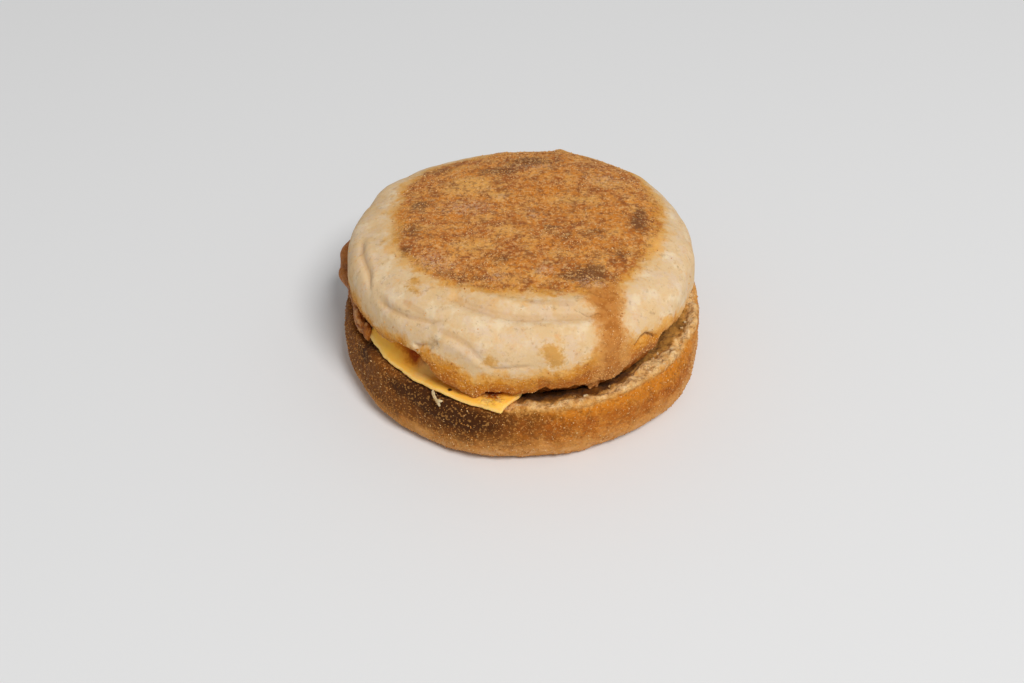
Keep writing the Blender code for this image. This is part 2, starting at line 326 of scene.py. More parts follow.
@dataclass(frozen=True)
class Fold:
    """A crease in the top half's skin with a soft ridge beside it, through (azimuth, distance) stations.

    It fades in over some degrees from its ends. Painted narrows the crease's painted shade against its
    depth.
    """

    stations: Stations
    depth: float
    width: float
    ridge: float = 0.0
    fade: float = 5.0
    ridge_offset: float = 2.2
    painted: float = 1.3

    def across(self, azimuth: Array, distance: Array) -> tuple[Array, Array]:
        """Where points lie across the crease.

        Args:
            azimuth: Degrees, from -180 to 180.
            distance: Millimetres from the crown's centre along the skin.

        Returns:
            Half widths from the crease's line, and its strength there, which fades towards its two ends.
        """
        turns = [station[0] for station in self.stations]
        middle = np.interp(azimuth, turns, [station[1] for station in self.stations])
        fade = ease((azimuth - turns[0]) / self.fade) * ease((turns[-1] - azimuth) / self.fade)
        return (distance - middle) / self.width, fade

    def relief(self, azimuth: Array, distance: Array) -> Array:
        """Offset of the skin along its normals.

        Args:
            azimuth: Degrees, from -180 to 180.
            distance: Millimetres from the crown's centre along the skin.

        Returns:
            Millimetres, less than 0 in the crease and more than 0 on the ridge.
        """
        across, fade = self.across(azimuth, distance)
        ridge = self.ridge * np.exp(-(across + self.ridge_offset) ** 2)
        return fade * (ridge - self.depth * np.exp(-across ** 2))

    def crease(self, azimuth: Array, distance: Array) -> Array:
        """How deep in the crease a point lies, from 0 to 1."""
        across, fade = self.across(azimuth, distance)
        return fade * np.exp(-(across * self.painted) ** 2)


@dataclass(frozen=True)
class Crack:
    """A narrow split in a side's skin along straight lines between (azimuth, distance) stations.

    Painted shade lies along the split over a half width of its own. The radius turns azimuths into
    millimetres.
    """

    stations: Stations
    depth: float
    width: float
    painted: float
    radius: float = 45.0

    def gap(self, azimuth: Array, distance: Array) -> Array:
        """How far points lie from the split's line.

        Args:
            azimuth: Degrees, from -180 to 180.
            distance: Millimetres from the crown's centre along the skin.

        Returns:
            Millimetres.
        """
        place = np.stack([np.radians(azimuth) * self.radius, distance], axis=-1)
        corners = [np.array((math.radians(turn) * self.radius, run)) for turn, run in self.stations]
        gaps = []
        for start, end in zip(corners, corners[1:]):
            along = end - start
            share = np.clip(((place - start) @ along) / (along @ along), 0.0, 1.0)
            gaps.append(np.linalg.norm(place - start - share[..., None] * along, axis=-1))
        return np.min(gaps, axis=0)

    def relief(self, azimuth: Array, distance: Array) -> Array:
        """Offset along the skin's normal, in millimetres."""
        return -self.depth * np.exp(-(self.gap(azimuth, distance) / self.width) ** 2)

    def inside(self, azimuth: Array, distance: Array) -> Array:
        """Millimetres inside the painted shade along the split."""
        return self.painted - self.gap(azimuth, distance)


@dataclass(frozen=True)
class Survey:
    """Where the points of a turned outline lie, each array by row and azimuth.

    Distance runs along each azimuth's outline from its first point.
    """

    azimuth: Array
    radius: Array
    height: Array
    distance: Array
    points: Array

    def moved(self, offset: Array) -> Array:
        """The points after a relief has moved them outwards by some millimetres each."""
        return self.points + outward(self.points) * offset[..., None]

    @classmethod
    def of(cls, azimuth: Array, outline: Array) -> "Survey":
        """Survey an outline.

        Args:
            azimuth: Degrees, one for each column.
            outline: Radius and height, indexed by point, azimuth and coordinate.

        Returns:
            The survey.
        """
        radius, height = outline[..., 0], outline[..., 1]
        turns = np.broadcast_to(azimuth, radius.shape)
        return cls(turns, radius, height, travelled(outline), polar_points(turns, radius, height))

    def marked(self, marks: tuple[Oval, ...], measure: Array) -> Array:
        """Strength of a side's marks together, with their second measure at each point."""
        return sum(mark.on_side(self.azimuth, measure, self.radius) for mark in marks)


@dataclass
class Skin:
    """Rings of points round the upright axis, with a number of each field for every point.

    The rings run from the middle of the upper face out, down and back in to the middle of the lower face. A
    ring skips points, in powers of two, where they would come closer together than the spacing.
    """

    points: Array
    fields: dict[str, Array] = field(default_factory=dict)
    spacing: float = 0.3
    least_radius: float = 0.2
    most_halvings: int = 4

    def strides(self) -> list[int]:
        """Thin the rings out where their points would crowd.

        Returns:
            Every how many azimuths each ring has a point, at most twice or half its neighbours' number.
        """
        radius = np.linalg.norm(self.points[..., :2], axis=2).mean(axis=1)
        length = 2.0 * math.pi * np.maximum(radius, self.least_radius)
        wanted = np.floor(np.log2(self.spacing * self.points.shape[1] / length))
        power = np.clip(wanted, 0, self.most_halvings).astype(int)
        for row in range(1, len(power)):
            power[row] = max(power[row], power[row - 1] - 1)
        for row in range(len(power) - 2, -1, -1):
            power[row] = max(power[row], power[row + 1] - 1)
        return [2 ** int(value) for value in power]

    def mesh(self, name: str) -> bpy.types.Mesh:
        """One closed mesh with an attribute for each field.

        Args:
            name: The mesh's name.

        Returns:
            The mesh, in metres.
        """
        rows, segments = self.points.shape[:2]
        strides = self.strides()
        used = np.full((rows, segments), -1)
        count = 0
        for row, stride in enumerate(strides):
            kept = np.arange(0, segments, stride)
            used[row, kept] = count + np.arange(len(kept))
            count += len(kept)
        faces: Faces = []
        for row in range(rows - 1):
            faces += self.bridge(used[row], used[row + 1], strides[row], strides[row + 1])
        first, last = used[0][used[0] >= 0], used[-1][used[-1] >= 0]
        faces += listed_faces(np.full(len(first), count), first, np.roll(first, -1))
        faces += listed_faces(np.full(len(last), count + 1), np.roll(last, -1), last)
        fields = {key: self.listed(values, used) for key, values in self.fields.items()}
        return new_mesh(name, self.listed(self.points, used), faces, fields)

    @staticmethod
    def listed(values: Array, used: Array) -> Array:
        """The kept points' values in the mesh's order, then the means of the first and of the last ring."""
        ends = np.stack([values[0].mean(axis=0), values[-1].mean(axis=0)])
        return np.concatenate([values[used >= 0], ends])

    @staticmethod
    def bridge(upper: Array, lower: Array, above: int, below: int) -> Faces:
        """Faces between two rings whose strides are equal or differ by a factor of two.

        Args:
            upper: Vertex numbers of the first ring by azimuth step, -1 where it has none.
            lower: The same for the next ring.
            above: The first ring's stride.
            below: The next ring's stride.

        Returns:
            Quads, or triangles where the stride changes, with their faces outwards.
        """
        coarse = max(above, below)
        start = np.arange(0, len(upper), coarse)
        after = (start + coarse) % len(upper)
        half = start + coarse // 2
        if above == below:
            return listed_faces(upper[start], lower[start], lower[after], upper[after])
        if below < above:
            return [*listed_faces(upper[start], lower[start], lower[half]),
                    *listed_faces(upper[start], lower[half], upper[after]),
                    *listed_faces(upper[after], lower[half], lower[after])]
        return [*listed_faces(upper[start], lower[start], upper[half]),
                *listed_faces(upper[half], lower[start], lower[after]),
                *listed_faces(upper[half], lower[after], upper[after])]


def add_node(tree: bpy.types.NodeTree, kind: str, settings: dict | None = None,
             inputs: dict | None = None) -> bpy.types.Node:
    """Add one shader node with its settings and links.

    Args:
        tree: The material's node tree.
        kind: The node's type.
        settings: Properties of the node with their values.
        inputs: Names or numbers of its sockets, each with a value or with the socket that feeds it.

    Returns:
        The node.
    """
    made = tree.nodes.new(kind)
    for name, value in (settings or {}).items():
        setattr(made, name, value)
    for name, value in (inputs or {}).items():
        if isinstance(value, bpy.types.NodeSocket):
            tree.links.new(value, made.inputs[name])
        else:
            made.inputs[name].default_value = value
    return made


class Pattern(Enum):
    """How a colour or a relief is broken up over a surface."""

    EVEN = "even"
    CLOUDS = "clouds"
    SPECKS = "specks"


@dataclass(frozen=True)
class Broken:
    """A pattern with a real size in millimetres, as a mask that starts and is full at two of its values.

    The sizes are the food's own: under 1 mm for grains and pores, 1 to 3 mm for mottling and mince, and 4
    to 9 mm for clouds of browning. All show in the picture, so none is drawn coarser than it is.
    """

    size: float = 4.0
    start: float = 0.45
    full: float = 0.6
    detail: float = 3.0
    roughness: float = 0.6
    pattern: Pattern = Pattern.CLOUDS

    def mask(self, tree: bpy.types.NodeTree, place: bpy.types.NodeSocket) -> Mask:
        """Nodes that make the mask.

        Args:
            tree: The material's node tree.
            place: Socket with the point on the object, in metres.

        Returns:
            The mask's socket, or 1 for an even colour.
        """
        if self.pattern is Pattern.EVEN:
            return 1.0
        inputs = {"Vector": place, "Scale": 1.0 / (self.size * MM)}
        if self.pattern is Pattern.CLOUDS:
            inputs.update(Detail=self.detail, Roughness=self.roughness)
            value = add_node(tree, "ShaderNodeTexNoise", None, inputs).outputs["Fac"]
        else:
            value = add_node(tree, "ShaderNodeTexVoronoi", None, inputs).outputs["Distance"]
        spread = add_node(tree, "ShaderNodeMapRange", {"interpolation_type": "SMOOTHSTEP"}, {
            "Value": value, "From Min": self.start, "From Max": self.full})
        return spread.outputs["Result"]


EVEN = Broken(pattern=Pattern.EVEN)


@dataclass(frozen=True)
class Zone:
    """Where something lies: inside a field that holds millimetres from its edge, or a mark's strength.

    Noise frays the edge, and grain dissolves it in specks of a grain's size.
    """

    name: str = ""
    soft: float = 1.5
    fray: float = 0.0
    fray_size: float = 2.5
    shift: float = 0.0
    grain: float = 0.0
    grain_size: float = 0.7
    detail: float = 3.0
    roughness: float = 0.65

    def mask(self, tree: bpy.types.NodeTree, place: bpy.types.NodeSocket) -> Mask:
        """Nodes that make the mask.

        Args:
            tree: The material's node tree.
            place: Socket with the point on the object, in metres.

        Returns:
            The mask's socket, or 1 where there is no field.
        """
        if not self.name:
            return 1.0
        value = add_node(tree, "ShaderNodeAttribute", {"attribute_name": self.name}).outputs["Fac"]
        for swing, size in ((self.fray, self.fray_size), (self.grain, self.grain_size)):
            if not swing:
                continue
            noise = add_node(tree, "ShaderNodeTexNoise", None, {
                "Vector": place, "Scale": 1.0 / (size * MM),
                "Detail": self.detail, "Roughness": self.roughness})
            swung = add_node(tree, "ShaderNodeMapRange", {"clamp": False}, {
                "Value": noise.outputs["Fac"], "From Min": NOISE_LOW, "From Max": NOISE_HIGH,
                "To Min": -swing, "To Max": swing})
            moved = add_node(tree, "ShaderNodeMath", {"operation": "ADD"}, {
                0: value, 1: swung.outputs["Result"]})
            value = moved.outputs["Value"]
        faded = add_node(tree, "ShaderNodeMapRange", {"interpolation_type": "SMOOTHSTEP"}, {
            "Value": value, "From Min": self.shift - self.soft / 2, "From Max": self.shift + self.soft / 2})
        return faded.outputs["Result"]


def product(tree: bpy.types.NodeTree, parts: list[Mask]) -> Mask:
    """Multiply masks and numbers together in a node tree.

    Args:
        tree: The material's node tree.
        parts: Sockets and plain numbers.

    Returns:
        The product's socket, or a number where no part is a socket.
    """
    number = math.prod(part for part in parts if isinstance(part, (int, float)))
    sockets = [part for part in parts if not isinstance(part, (int, float))]
    if not sockets:
        return number
    total = sockets[0]
    for part in sockets[1:] + ([number] if number != 1.0 else []):
        made = add_node(tree, "ShaderNodeMath", {"operation": "MULTIPLY"}, {0: total, 1: part})
        total = made.outputs["Value"]
    return total


@dataclass(frozen=True)
class Layer:
    """One colour laid over those before it, in a zone and broken up by a pattern."""

    colour: str
    strength: float = 1.0
    zone: Zone = Zone()
    broken: Broken = EVEN


@dataclass(frozen=True)
class Grit:
    """Fine relief that is too small for the mesh, as a height in millimetres."""

    height: float
    broken: Broken
    zone: Zone = Zone()


@dataclass(frozen=True)
class Finish:
    """A food surface: colours in layers, uneven roughness and fine relief on a Principled shader.

    Roughness lies between its two values in clouds of its own size. Flour is too fine to show as grains,
    so dust is a sheen: the pale bloom that shows where a crust is seen edge on. Depth is how far light
    soaks in, in millimetres, and radius is the share of it for red, green and blue.
    """

    name: str
    base: str
    layers: tuple[Layer, ...]
    grits: tuple[Grit, ...] = ()
    roughness: tuple[float, float] = (0.75, 0.95)
    roughness_size: float = 3.0
    roughness_spread: tuple[float, float] = (0.35, 0.65)
    ior: float = 1.45
    specular: float = 0.25
    dust: float = 0.0
    dust_colour: str = "#FFE9CC"
    dust_roughness: float = 0.6
    subsurface: float = 0.0
    radius: tuple[float, float, float] = (1.0, 0.6, 0.3)
    depth: float = 1.5

    def build(self) -> bpy.types.Material:
        """Make the finish's material.

        Returns:
            The material.
        """
        material = bpy.data.materials.new(self.name)
        material.use_nodes = True
        tree = material.node_tree
        shader = tree.nodes["Principled BSDF"]
        place = add_node(tree, "ShaderNodeTexCoord").outputs["Object"]
        tree.links.new(self.painted(tree, place), shader.inputs["Base Color"])
        gloss = Broken(self.roughness_size, *self.roughness_spread).mask(tree, place)
        rough = add_node(tree, "ShaderNodeMapRange", None, {
            "Value": gloss, "To Min": self.roughness[0], "To Max": self.roughness[1]})
        tree.links.new(rough.outputs["Result"], shader.inputs["Roughness"])
        tree.links.new(self.bumped(tree, place), shader.inputs["Normal"])
        plain = {
            "IOR": self.ior, "Specular IOR Level": self.specular, "Sheen Weight": self.dust,
            "Sheen Roughness": self.dust_roughness, "Sheen Tint": linear(self.dust_colour),
            "Subsurface Weight": self.subsurface, "Subsurface Radius": self.radius,
            "Subsurface Scale": self.depth * MM,
        }
        for socket, value in plain.items():
            shader.inputs[socket].default_value = value
        return material

    def painted(self, tree: bpy.types.NodeTree, place: bpy.types.NodeSocket) -> bpy.types.NodeSocket:
        """Nodes that lay the colours over each other.

        Args:
            tree: The material's node tree.
            place: Socket with the point on the object, in metres.

        Returns:
            The colour's socket.
        """
        colour: bpy.types.NodeSocket | tuple = linear(self.base)
        for layer in self.layers:
            masks = [layer.zone.mask(tree, place), layer.broken.mask(tree, place)]
            mixed = add_node(tree, "ShaderNodeMix", {"data_type": "RGBA"}, {
                "Factor": product(tree, [layer.strength, *masks]), 6: colour, 7: linear(layer.colour)})
            colour = mixed.outputs[2]
        return colour

    def bumped(self, tree: bpy.types.NodeTree, place: bpy.types.NodeSocket) -> bpy.types.NodeSocket:
        """Nodes that add the fine relief up and bend the surface's normal by it.

        Args:
            tree: The material's node tree.
            place: Socket with the point on the object, in metres.

        Returns:
            The normal's socket.
        """
        height: Mask = 0.0
        for grit in self.grits:
            rise = product(tree, [grit.height, grit.zone.mask(tree, place), grit.broken.mask(tree, place)])
            added = add_node(tree, "ShaderNodeMath", {"operation": "ADD"}, {0: height, 1: rise})
            height = added.outputs["Value"]
        return add_node(tree, "ShaderNodeBump", None, {"Distance": MM, "Height": height}).outputs["Normal"]


# Griddled bread crust: a baked dough skin, pale where it never touched the hot plate and browned where it
# did. It is dull all over. The pale skin is smooth and floury; the browning is mottled and dissolves in
# grains.
TOP_CRUST = Finish(
    "griddled_bread_crust",
    "#DEBE92",
    (
        # Pale skin: cream, rosy and tan clouds with a few brown freckles.
        Layer("#D8AE72", 0.35, broken=Broken(9.0, 0.45, 0.65)),
        Layer("#ECD8B6", 0.6, broken=Broken(6.0, 0.5, 0.66)),
        Layer("#DABFA6", 0.45, broken=Broken(3.5, 0.48, 0.64)),
        Layer("#C79455", 0.14, broken=Broken(2.2, 0.55, 0.68)),
        Layer("#A87A42", 0.5, broken=Broken(4.6, 0.06, 0.03, pattern=Pattern.SPECKS)),
        # Skin that warmed but never touched the griddle, and the golden crests of folds.
        Layer("#D2A054", 0.5, Zone("tan", 7.0, 2.0, 4.0), Broken(5.0, 0.36, 0.62)),
        Layer("#D9A458", 0.8, Zone("toast", 5.0, 2.8, 5.0, -2.4)),
        Layer("#D6A050", 0.75, Zone("gold", 0.8, 0.35, 1.4, 0.55, 0.15)),
        Layer("#BC8230", 0.5, Zone("gold", 0.6, 0.5, 1.0, 0.8, 0.15)),
        # The browned lower edge, from straw at its upper border to brown at the lip.
        Layer("#E0A348", 0.85, Zone("band", 3.6, 1.8, 3.4, -0.6, 0.5)),
        Layer("#CC8014", 0.92, Zone("band", 3.4, 1.8, 2.6, 1.1, 0.6)),
        Layer("#AC5A04", 0.85, Zone("band", 4.2, 2.0, 3.0, 3.8, 0.5)),
        Layer("#94501A", 0.4, Zone("band", 4.0, 2.0, 3.0, 3.0), Broken(2.2, 0.45, 0.62)),
        Layer("#E2A656", 0.4, Zone("band", 2.0, 1.0, 3.0, 0.6), Broken(0.6, 0.52, 0.64, 1.0)),
        # The brown streak that runs down from the crown at the right.
        Layer("#D49850", 0.9, Zone("streak", 4.2, 1.6, 3.4, -0.3, 0.6)),
        Layer("#B8722C", 0.8, Zone("streak", 4.0, 1.8, 3.4, 1.5, 0.6)),
        Layer("#A05C1C", 0.65, Zone("streak", 3.0, 1.0, 3.0, 1.8), Broken(2.4, 0.45, 0.62)),
        # The toasted crown: orange brown with its own clouds of dark and honey.
        Layer("#D2923C", 1.0, Zone("toast", 2.8, 2.1, 3.2, -0.1, 0.5)),
        Layer("#CE7E2C", 0.95, Zone("toast", 3.6, 2.2, 3.0, 2.0, 0.6)),
        Layer("#AC5E20", 0.9, Zone("toast", 3.0, 1.5, 3.0, 0.6), Broken(7.0, 0.44, 0.6)),
        Layer("#E4A250", 0.8, Zone("toast", 3.0, 1.5, 3.0, 2.0), Broken(4.4, 0.49, 0.65)),
        Layer("#CF7C22", 0.85, Zone("glow", 0.8, 0.25, 2.5, 0.42)),
        Layer("#E6A855", 0.85, Zone("honey", 0.8, 0.25, 2.5, 0.42)),
        Layer("#864618", 0.75, Zone("toast", 2.0, 1.0, 1.5, 1.0), Broken(2.8, 0.47, 0.68)),
        Layer("#EBAE64", 0.4, Zone("toast", 2.0, 1.0, 1.5, 1.5), Broken(1.6, 0.5, 0.68)),
        # Scorched spots with burnt flour, then the finest pale and dark mottling.
        Layer("#70421E", 0.9, Zone("char", 0.8, 0.32, 1.8, 0.46, 0.16)),
        Layer("#D7AC8A", 0.6, Zone("ash", 0.8, 0.25, 1.4, 0.45), Broken(0.8, 0.42, 0.58)),
        Layer("#EDB878", 0.55, Zone("toast", 2.4, 1.0, 1.5, 0.3), Broken(0.9, 0.49, 0.68, 2.0)),
        Layer("#7E4216", 0.55, Zone("toast", 2.4, 1.0, 1.5, 0.3), Broken(1.2, 0.5, 0.68, 2.0)),
        # Painted shade in the creases and along the splits, then the torn crumb under the lip.
        Layer("#B98A58", 0.3, Zone("crease", 0.5, 0.0, 1.0, 0.55)),
        Layer("#6E4420", 0.7, Zone("crack", 0.4, 0.1, 0.8)),
        Layer("#DDB884", 1.0, Zone("crumb", 0.8, 0.4, 1.5, 0.2)),
    ),
    (
        Grit(0.06, Broken(1.1, 0.3, 0.7)),
        Grit(0.16, Broken(0.7, 0.3, 0.7), Zone("toast", 3.0, 1.0, 2.0)),
        Grit(0.12, Broken(0.8, 0.3, 0.7), Zone("band", 3.0, 1.0, 2.0)),
        Grit(0.5, Broken(1.4, 0.35, 0.65), Zone("crumb", 1.0, 0.0, 1.0)),
    ),
    specular=0.15, dust=0.08, subsurface=0.1,
)

# The bottom half's crust is the same bread, browned harder where the griddle and its own dark seam ran
# round it; under the cheese the seam also carries painted shadow. Its rim is torn crumb: soft, open and
# pale, with toasted brown where the cut face was griddled, darkened by painted shade in the gap.
BOTTOM_CRUST = Finish(
    "griddled_bread_foot",
    "#BC6E20",
    (
        # The brown side, with its golden upper border, its dark seam, which under the cheese is partly
        # painted shadow, and the darker left, partly the crust's own toast and partly painted shade away
        # from the light.
        Layer("#9E5518", 0.45, broken=Broken(6.0, 0.42, 0.62)),
        Layer("#CE8836", 0.55, broken=Broken(3.6, 0.5, 0.66)),
        Layer("#CE7C1C", 0.85, Zone("gold", 3.4, 1.6, 3.0, 0.1, 0.4)),
        Layer("#A4540E", 0.75, Zone("dark", 3.6, 1.8, 2.6, 0.9, 0.5)),
        Layer("#6C3E12", 0.85, Zone("left", 6.0, 2.2, 4.0)),
        Layer("#5E3008", 0.34, broken=Broken(1.6, 0.48, 0.66)),
        # The paler foot that stood on the griddle's edge.
        Layer("#D2924A", 0.9, Zone("foot", 6.0, 1.8, 3.4, -0.4, 0.6)),
        Layer("#E2AE7A", 0.65, Zone("foot", 5.0, 1.8, 3.0, 1.8, 0.5), Broken(2.4, 0.42, 0.6)),
        # Burnt and red brown marks, and straw flecks; the burnt marks just under the cheese's overhang are
        # partly painted shadow.
        Layer("#3A1A04", 0.85, Zone("scorch", 0.9, 0.24, 3.0, 0.48, 0.12)),
        Layer("#843C08", 0.7, Zone("flame", 0.6, 0.2, 2.0, 0.42)),
        Layer("#DC9C50", 0.4, broken=Broken(0.7, 0.54, 0.67, 1.0)),
        # The cut face: toasted brown, darkened as painted shade in the gap under the top half, and lighter
        # where the gap opens at the right and less shade is painted.
        Layer("#5A2F06", 1.0, Zone("face", 1.6, 0.8, 2.0, 0.0, 0.3)),
        Layer("#8A5216", 0.6, Zone("face", 2.0, 1.0, 2.0, 1.0), Broken(3.2, 0.46, 0.62)),
        Layer("#B8823A", 0.85, Zone("open", 2.4, 1.0, 2.4)),
        Layer("#4A2404", 0.5, Zone("face", 2.0, 1.0, 2.0, 1.0), Broken(2.2, 0.5, 0.62)),
        # The torn crumb: cream inside a golden border, with pale clouds painted as highlights on its lumps
        # and darker golden and brown clouds.
        Layer("#D89A4C", 0.9, Zone("crumb", 1.8, 0.8, 2.4, -0.5, 0.3)),
        Layer("#EEC080", 1.0, Zone("crumb", 1.6, 0.8, 2.4, 0.4, 0.2)),
        Layer("#FADCAC", 0.55, Zone("crumb", 1.4, 0.7, 1.2, 0.5), Broken(2.0, 0.48, 0.62)),
        Layer("#D8994C", 0.6, Zone("crumb", 1.2, 0.7, 1.2, 0.3), Broken(3.0, 0.49, 0.62)),
        Layer("#A2662A", 0.65, Zone("crumb", 1.2, 0.7, 1.2, 0.2), Broken(1.4, 0.51, 0.64)),
    ),
    (
        Grit(0.18, Broken(0.9, 0.3, 0.7)),
        Grit(0.10, Broken(0.7, 0.35, 0.1, pattern=Pattern.SPECKS)),
        Grit(0.35, Broken(1.3, 0.3, 0.7), Zone("crumb", 1.0, 0.0, 1.0)),
    ),
    specular=0.12, dust=0.05, subsurface=0.1,
)

# Fried ground meat: coarse mince pressed into a disc and browned in fat, which leaves a thin uneven gloss.
PATTY_MEAT = Finish(
    "fried_ground_meat",
    "#B4681C",
    (
        # Mince: lean and fat in clouds, with darker pits.
        Layer("#8E480C", 0.7, broken=Broken(4.0, 0.42, 0.6)),
        Layer("#D08434", 0.7, broken=Broken(2.6, 0.5, 0.66)),
        Layer("#DDA25A", 0.5, broken=Broken(1.6, 0.56, 0.7)),
        Layer("#5E2E08", 0.5, broken=Broken(1.0, 0.54, 0.68)),
        # The smooth lobe, and pale places: on the torn chunk's edge partly fat and partly painted
        # highlight, on the morsels a painted highlight on their raised lumps.
        Layer("#BC7432", 0.9, Zone("lobe", 0.7, 0.1, 3.0, 0.5)),
        Layer("#8A4A18", 0.5, Zone("lobe", 0.7, 0.1, 3.0, 0.5), Broken(3.0, 0.45, 0.62)),
        Layer("#E2AF74", 0.8, Zone("pale", 0.6, 0.3, 1.4, 0.5)),
    ),
    (
        Grit(0.28, Broken(1.2, 0.3, 0.7)),
        Grit(0.10, Broken(0.4, 0.3, 0.7)),
    ),
    roughness=(0.45, 0.75), roughness_size=1.5, specular=0.3,
)

# Processed cheese: a cast slice, smooth and satin, warm enough to sag. Light soaks in and comes out more
# orange.
CHEESE = Finish(
    "processed_cheese",
    "#FFBE4E",
    (
        # Deeper orange away from the outer edge: partly the melted cheese's own colour, partly painted
        # shade where the bread above shades it; the darkest layer is painted shade.
        Layer("#FF9C04", 0.85, Zone("inner", 3.0, 0.5, 3.0, 2.7)),
        Layer("#9A3A00", 1.0, Zone("inner", 1.8, 0.8, 3.0, 3.1)),
        Layer("#FFA82C", 0.4, broken=Broken(6.0, 0.45, 0.62)),
        # A painted highlight along the thin edge, a paler patch, crumbs of bread and one dark speck.
        Layer("#FFD488", 0.6, Zone("rim", 0.6, 0.15, 2.0)),
        Layer("#F4C270", 0.75, Zone("pale_patch", 0.7, 0.2, 2.0, 0.5)),
        Layer("#FFE4A2", 0.35, Zone("crumbly", 0.6, 0.2, 1.2, 0.5), Broken(1.1, 0.45, 0.6)),
        Layer("#3A2412", 0.95, Zone("speck", 0.3, 0.1, 0.6, 0.55)),
    ),
    (
        Grit(0.05, Broken(1.6, 0.3, 0.7)),
        Grit(0.3, Broken(0.8, 0.4, 0.6), Zone("crumbly", 0.6, 0.2, 1.0, 0.5)),
    ),
    roughness=(0.45, 0.6), roughness_size=6.0, specular=0.12,
    subsurface=0.3, radius=(1.0, 0.45, 0.1), depth=2.0,
)

# Coarse semolina, toasted on the griddle: hard little grains from straw to brown that catch the light.
SEMOLINA = Finish(
    "toasted_semolina",
    "#DCA05C",
    (
        Layer("#A8662C", 0.9, Zone("tint", 0.1, shift=0.7)),
        Layer("#EFC690", 0.9, Zone("tint", 0.1, shift=0.9)),
    ),
    roughness=(0.6, 0.8), specular=0.2, subsurface=0.1,
)

# The same semolina on the bottom half, which sat longer on the hot plate: darker grains among a few straw
# ones.
BROWNED_SEMOLINA = Finish(
    "browned_semolina",
    "#C07C38",
    (
        Layer("#98581C", 0.9, Zone("tint", 0.1, shift=0.6)),
        Layer("#E6BA80", 0.9, Zone("tint", 0.1, shift=0.82)),
    ),
    roughness=(0.6, 0.8), specular=0.2, subsurface=0.1,
)

# Torn bread crumb: soft and open, cream where it is fresh and golden where it caught the griddle.
CRUMB = Finish(
    "torn_bread_crumb",
    "#EED2A4",
    (
        Layer("#D9AA68", 0.7, broken=Broken(1.6, 0.45, 0.6)),
        Layer("#C58A45", 0.8, Zone("tint", 0.3, shift=0.75)),
    ),
    (Grit(0.3, Broken(0.7, 0.35, 0.65)),),
    specular=0.15, subsurface=0.15,
)


def add_piece(mesh: bpy.types.Mesh, finish: Finish, node: str = "") -> bpy.types.Object:
    """Put a mesh into the scene as a piece that moves with the sandwich's one body.

    Args:
        mesh: The finished mesh, whose name the piece takes.
        finish: Its surface.
        node: The CAD node that it stands for, if any.

    Returns:
        The piece.
    """
    material = bpy.data.materials.get(finish.name) or finish.build()
    mesh.materials.append(material)
    piece = bpy.data.objects.new(mesh.name, mesh)
    bpy.context.scene.collection.objects.link(piece)
    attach(piece, BODY)
    if node:
        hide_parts(node)
    LOG.info("%s: %d vertices, %d faces", piece.name, len(mesh.vertices), len(mesh.polygons))
    return piece


def ball(subdivisions: int) -> tuple[Array, Array]:
    """Make a ball of radius 1 from triangles.

    Args:
        subdivisions: 1 for an icosahedron, and one more each time that its triangles are split.

    Returns:
        Its points, and its triangles as the numbers of their points.
    """
    made = bmesh.new()
    bmesh.ops.create_icosphere(made, subdivisions=subdivisions, radius=1.0)
    points = np.array([vertex.co[:] for vertex in made.verts])
    faces = np.array([[vertex.index for vertex in face.verts] for face in made.faces])
    made.free()
    return points, faces


def copies_mesh(name: str, copies: Array, faces: Array, tint: Array) -> bpy.types.Mesh:
    """Join many small solids of the same make into one mesh.

    Args:
        name: The mesh's name.
        copies: Points in millimetres, indexed by solid, point and coordinate.
        faces: Triangles of one solid.
        tint: A number for each solid, which its finish reads as the field tint.

    Returns:
        The mesh, in metres.
    """
    number, count = copies.shape[:2]
    joined = (faces[None] + (np.arange(number) * count)[:, None, None]).reshape(-1, 3)
    return new_mesh(name, copies.reshape(-1, 3), joined.tolist(), {"tint": np.repeat(tint, count)})


@dataclass(frozen=True)
class Semolina:
    """Grains of semolina stuck to a crust: small, uneven, sunk in by a share of their size.

    More of them are small than large, and each is stretched on its own three axes.
    """

    seed: int
    finish: Finish
    least: float = 0.10
    most: float = 0.21
    sunk: float = 0.45
    stretch: tuple[float, float] = (0.7, 1.3)
    subdivisions: int = 1

    def strew(self, name: str, skin: Skin, density: Array, slot: str) -> None:
        """Strew grains over a skin and add them as one piece.

        Args:
            name: The piece's name.
            skin: The surface that they lie on.
            density: Grains in each square millimetre, for every point of the skin.
            slot: Not used.
        """
        draw = np.random.default_rng(self.seed)
        down = np.diff(skin.points, axis=0)
        across = (np.roll(skin.points, -1, axis=1) - skin.points)[:-1]
        area = np.linalg.norm(np.cross(down, across), axis=2)
        count = draw.poisson(area * density[:-1])
        row, column = (np.repeat(index, count[count > 0]) for index in np.nonzero(count))
        shares = draw.random((2, len(row), 1))
        foot = skin.points[row, column] + down[row, column] * shares[0] + across[row, column] * shares[1]
        out = outward(skin.points)[row, column]
        aside = unit(np.cross(out, draw.normal(size=out.shape)))
        axes = np.stack([aside, np.cross(out, aside), out], axis=1)
        radius = self.least + (self.most - self.least) * draw.random(len(row)) ** 2
        size = radius[:, None] * draw.uniform(*self.stretch, (len(row), 3))
        points, faces = ball(self.subdivisions)
        grains = np.einsum("pk,nk,nkc->npc", points, size, axes)
        middle = foot + out * (size[:, 2] * (1.0 - 2.0 * self.sunk))[:, None]
        mesh = copies_mesh(name, grains + middle[:, None], faces, draw.random(len(row)))
        add_piece(mesh, self.finish)


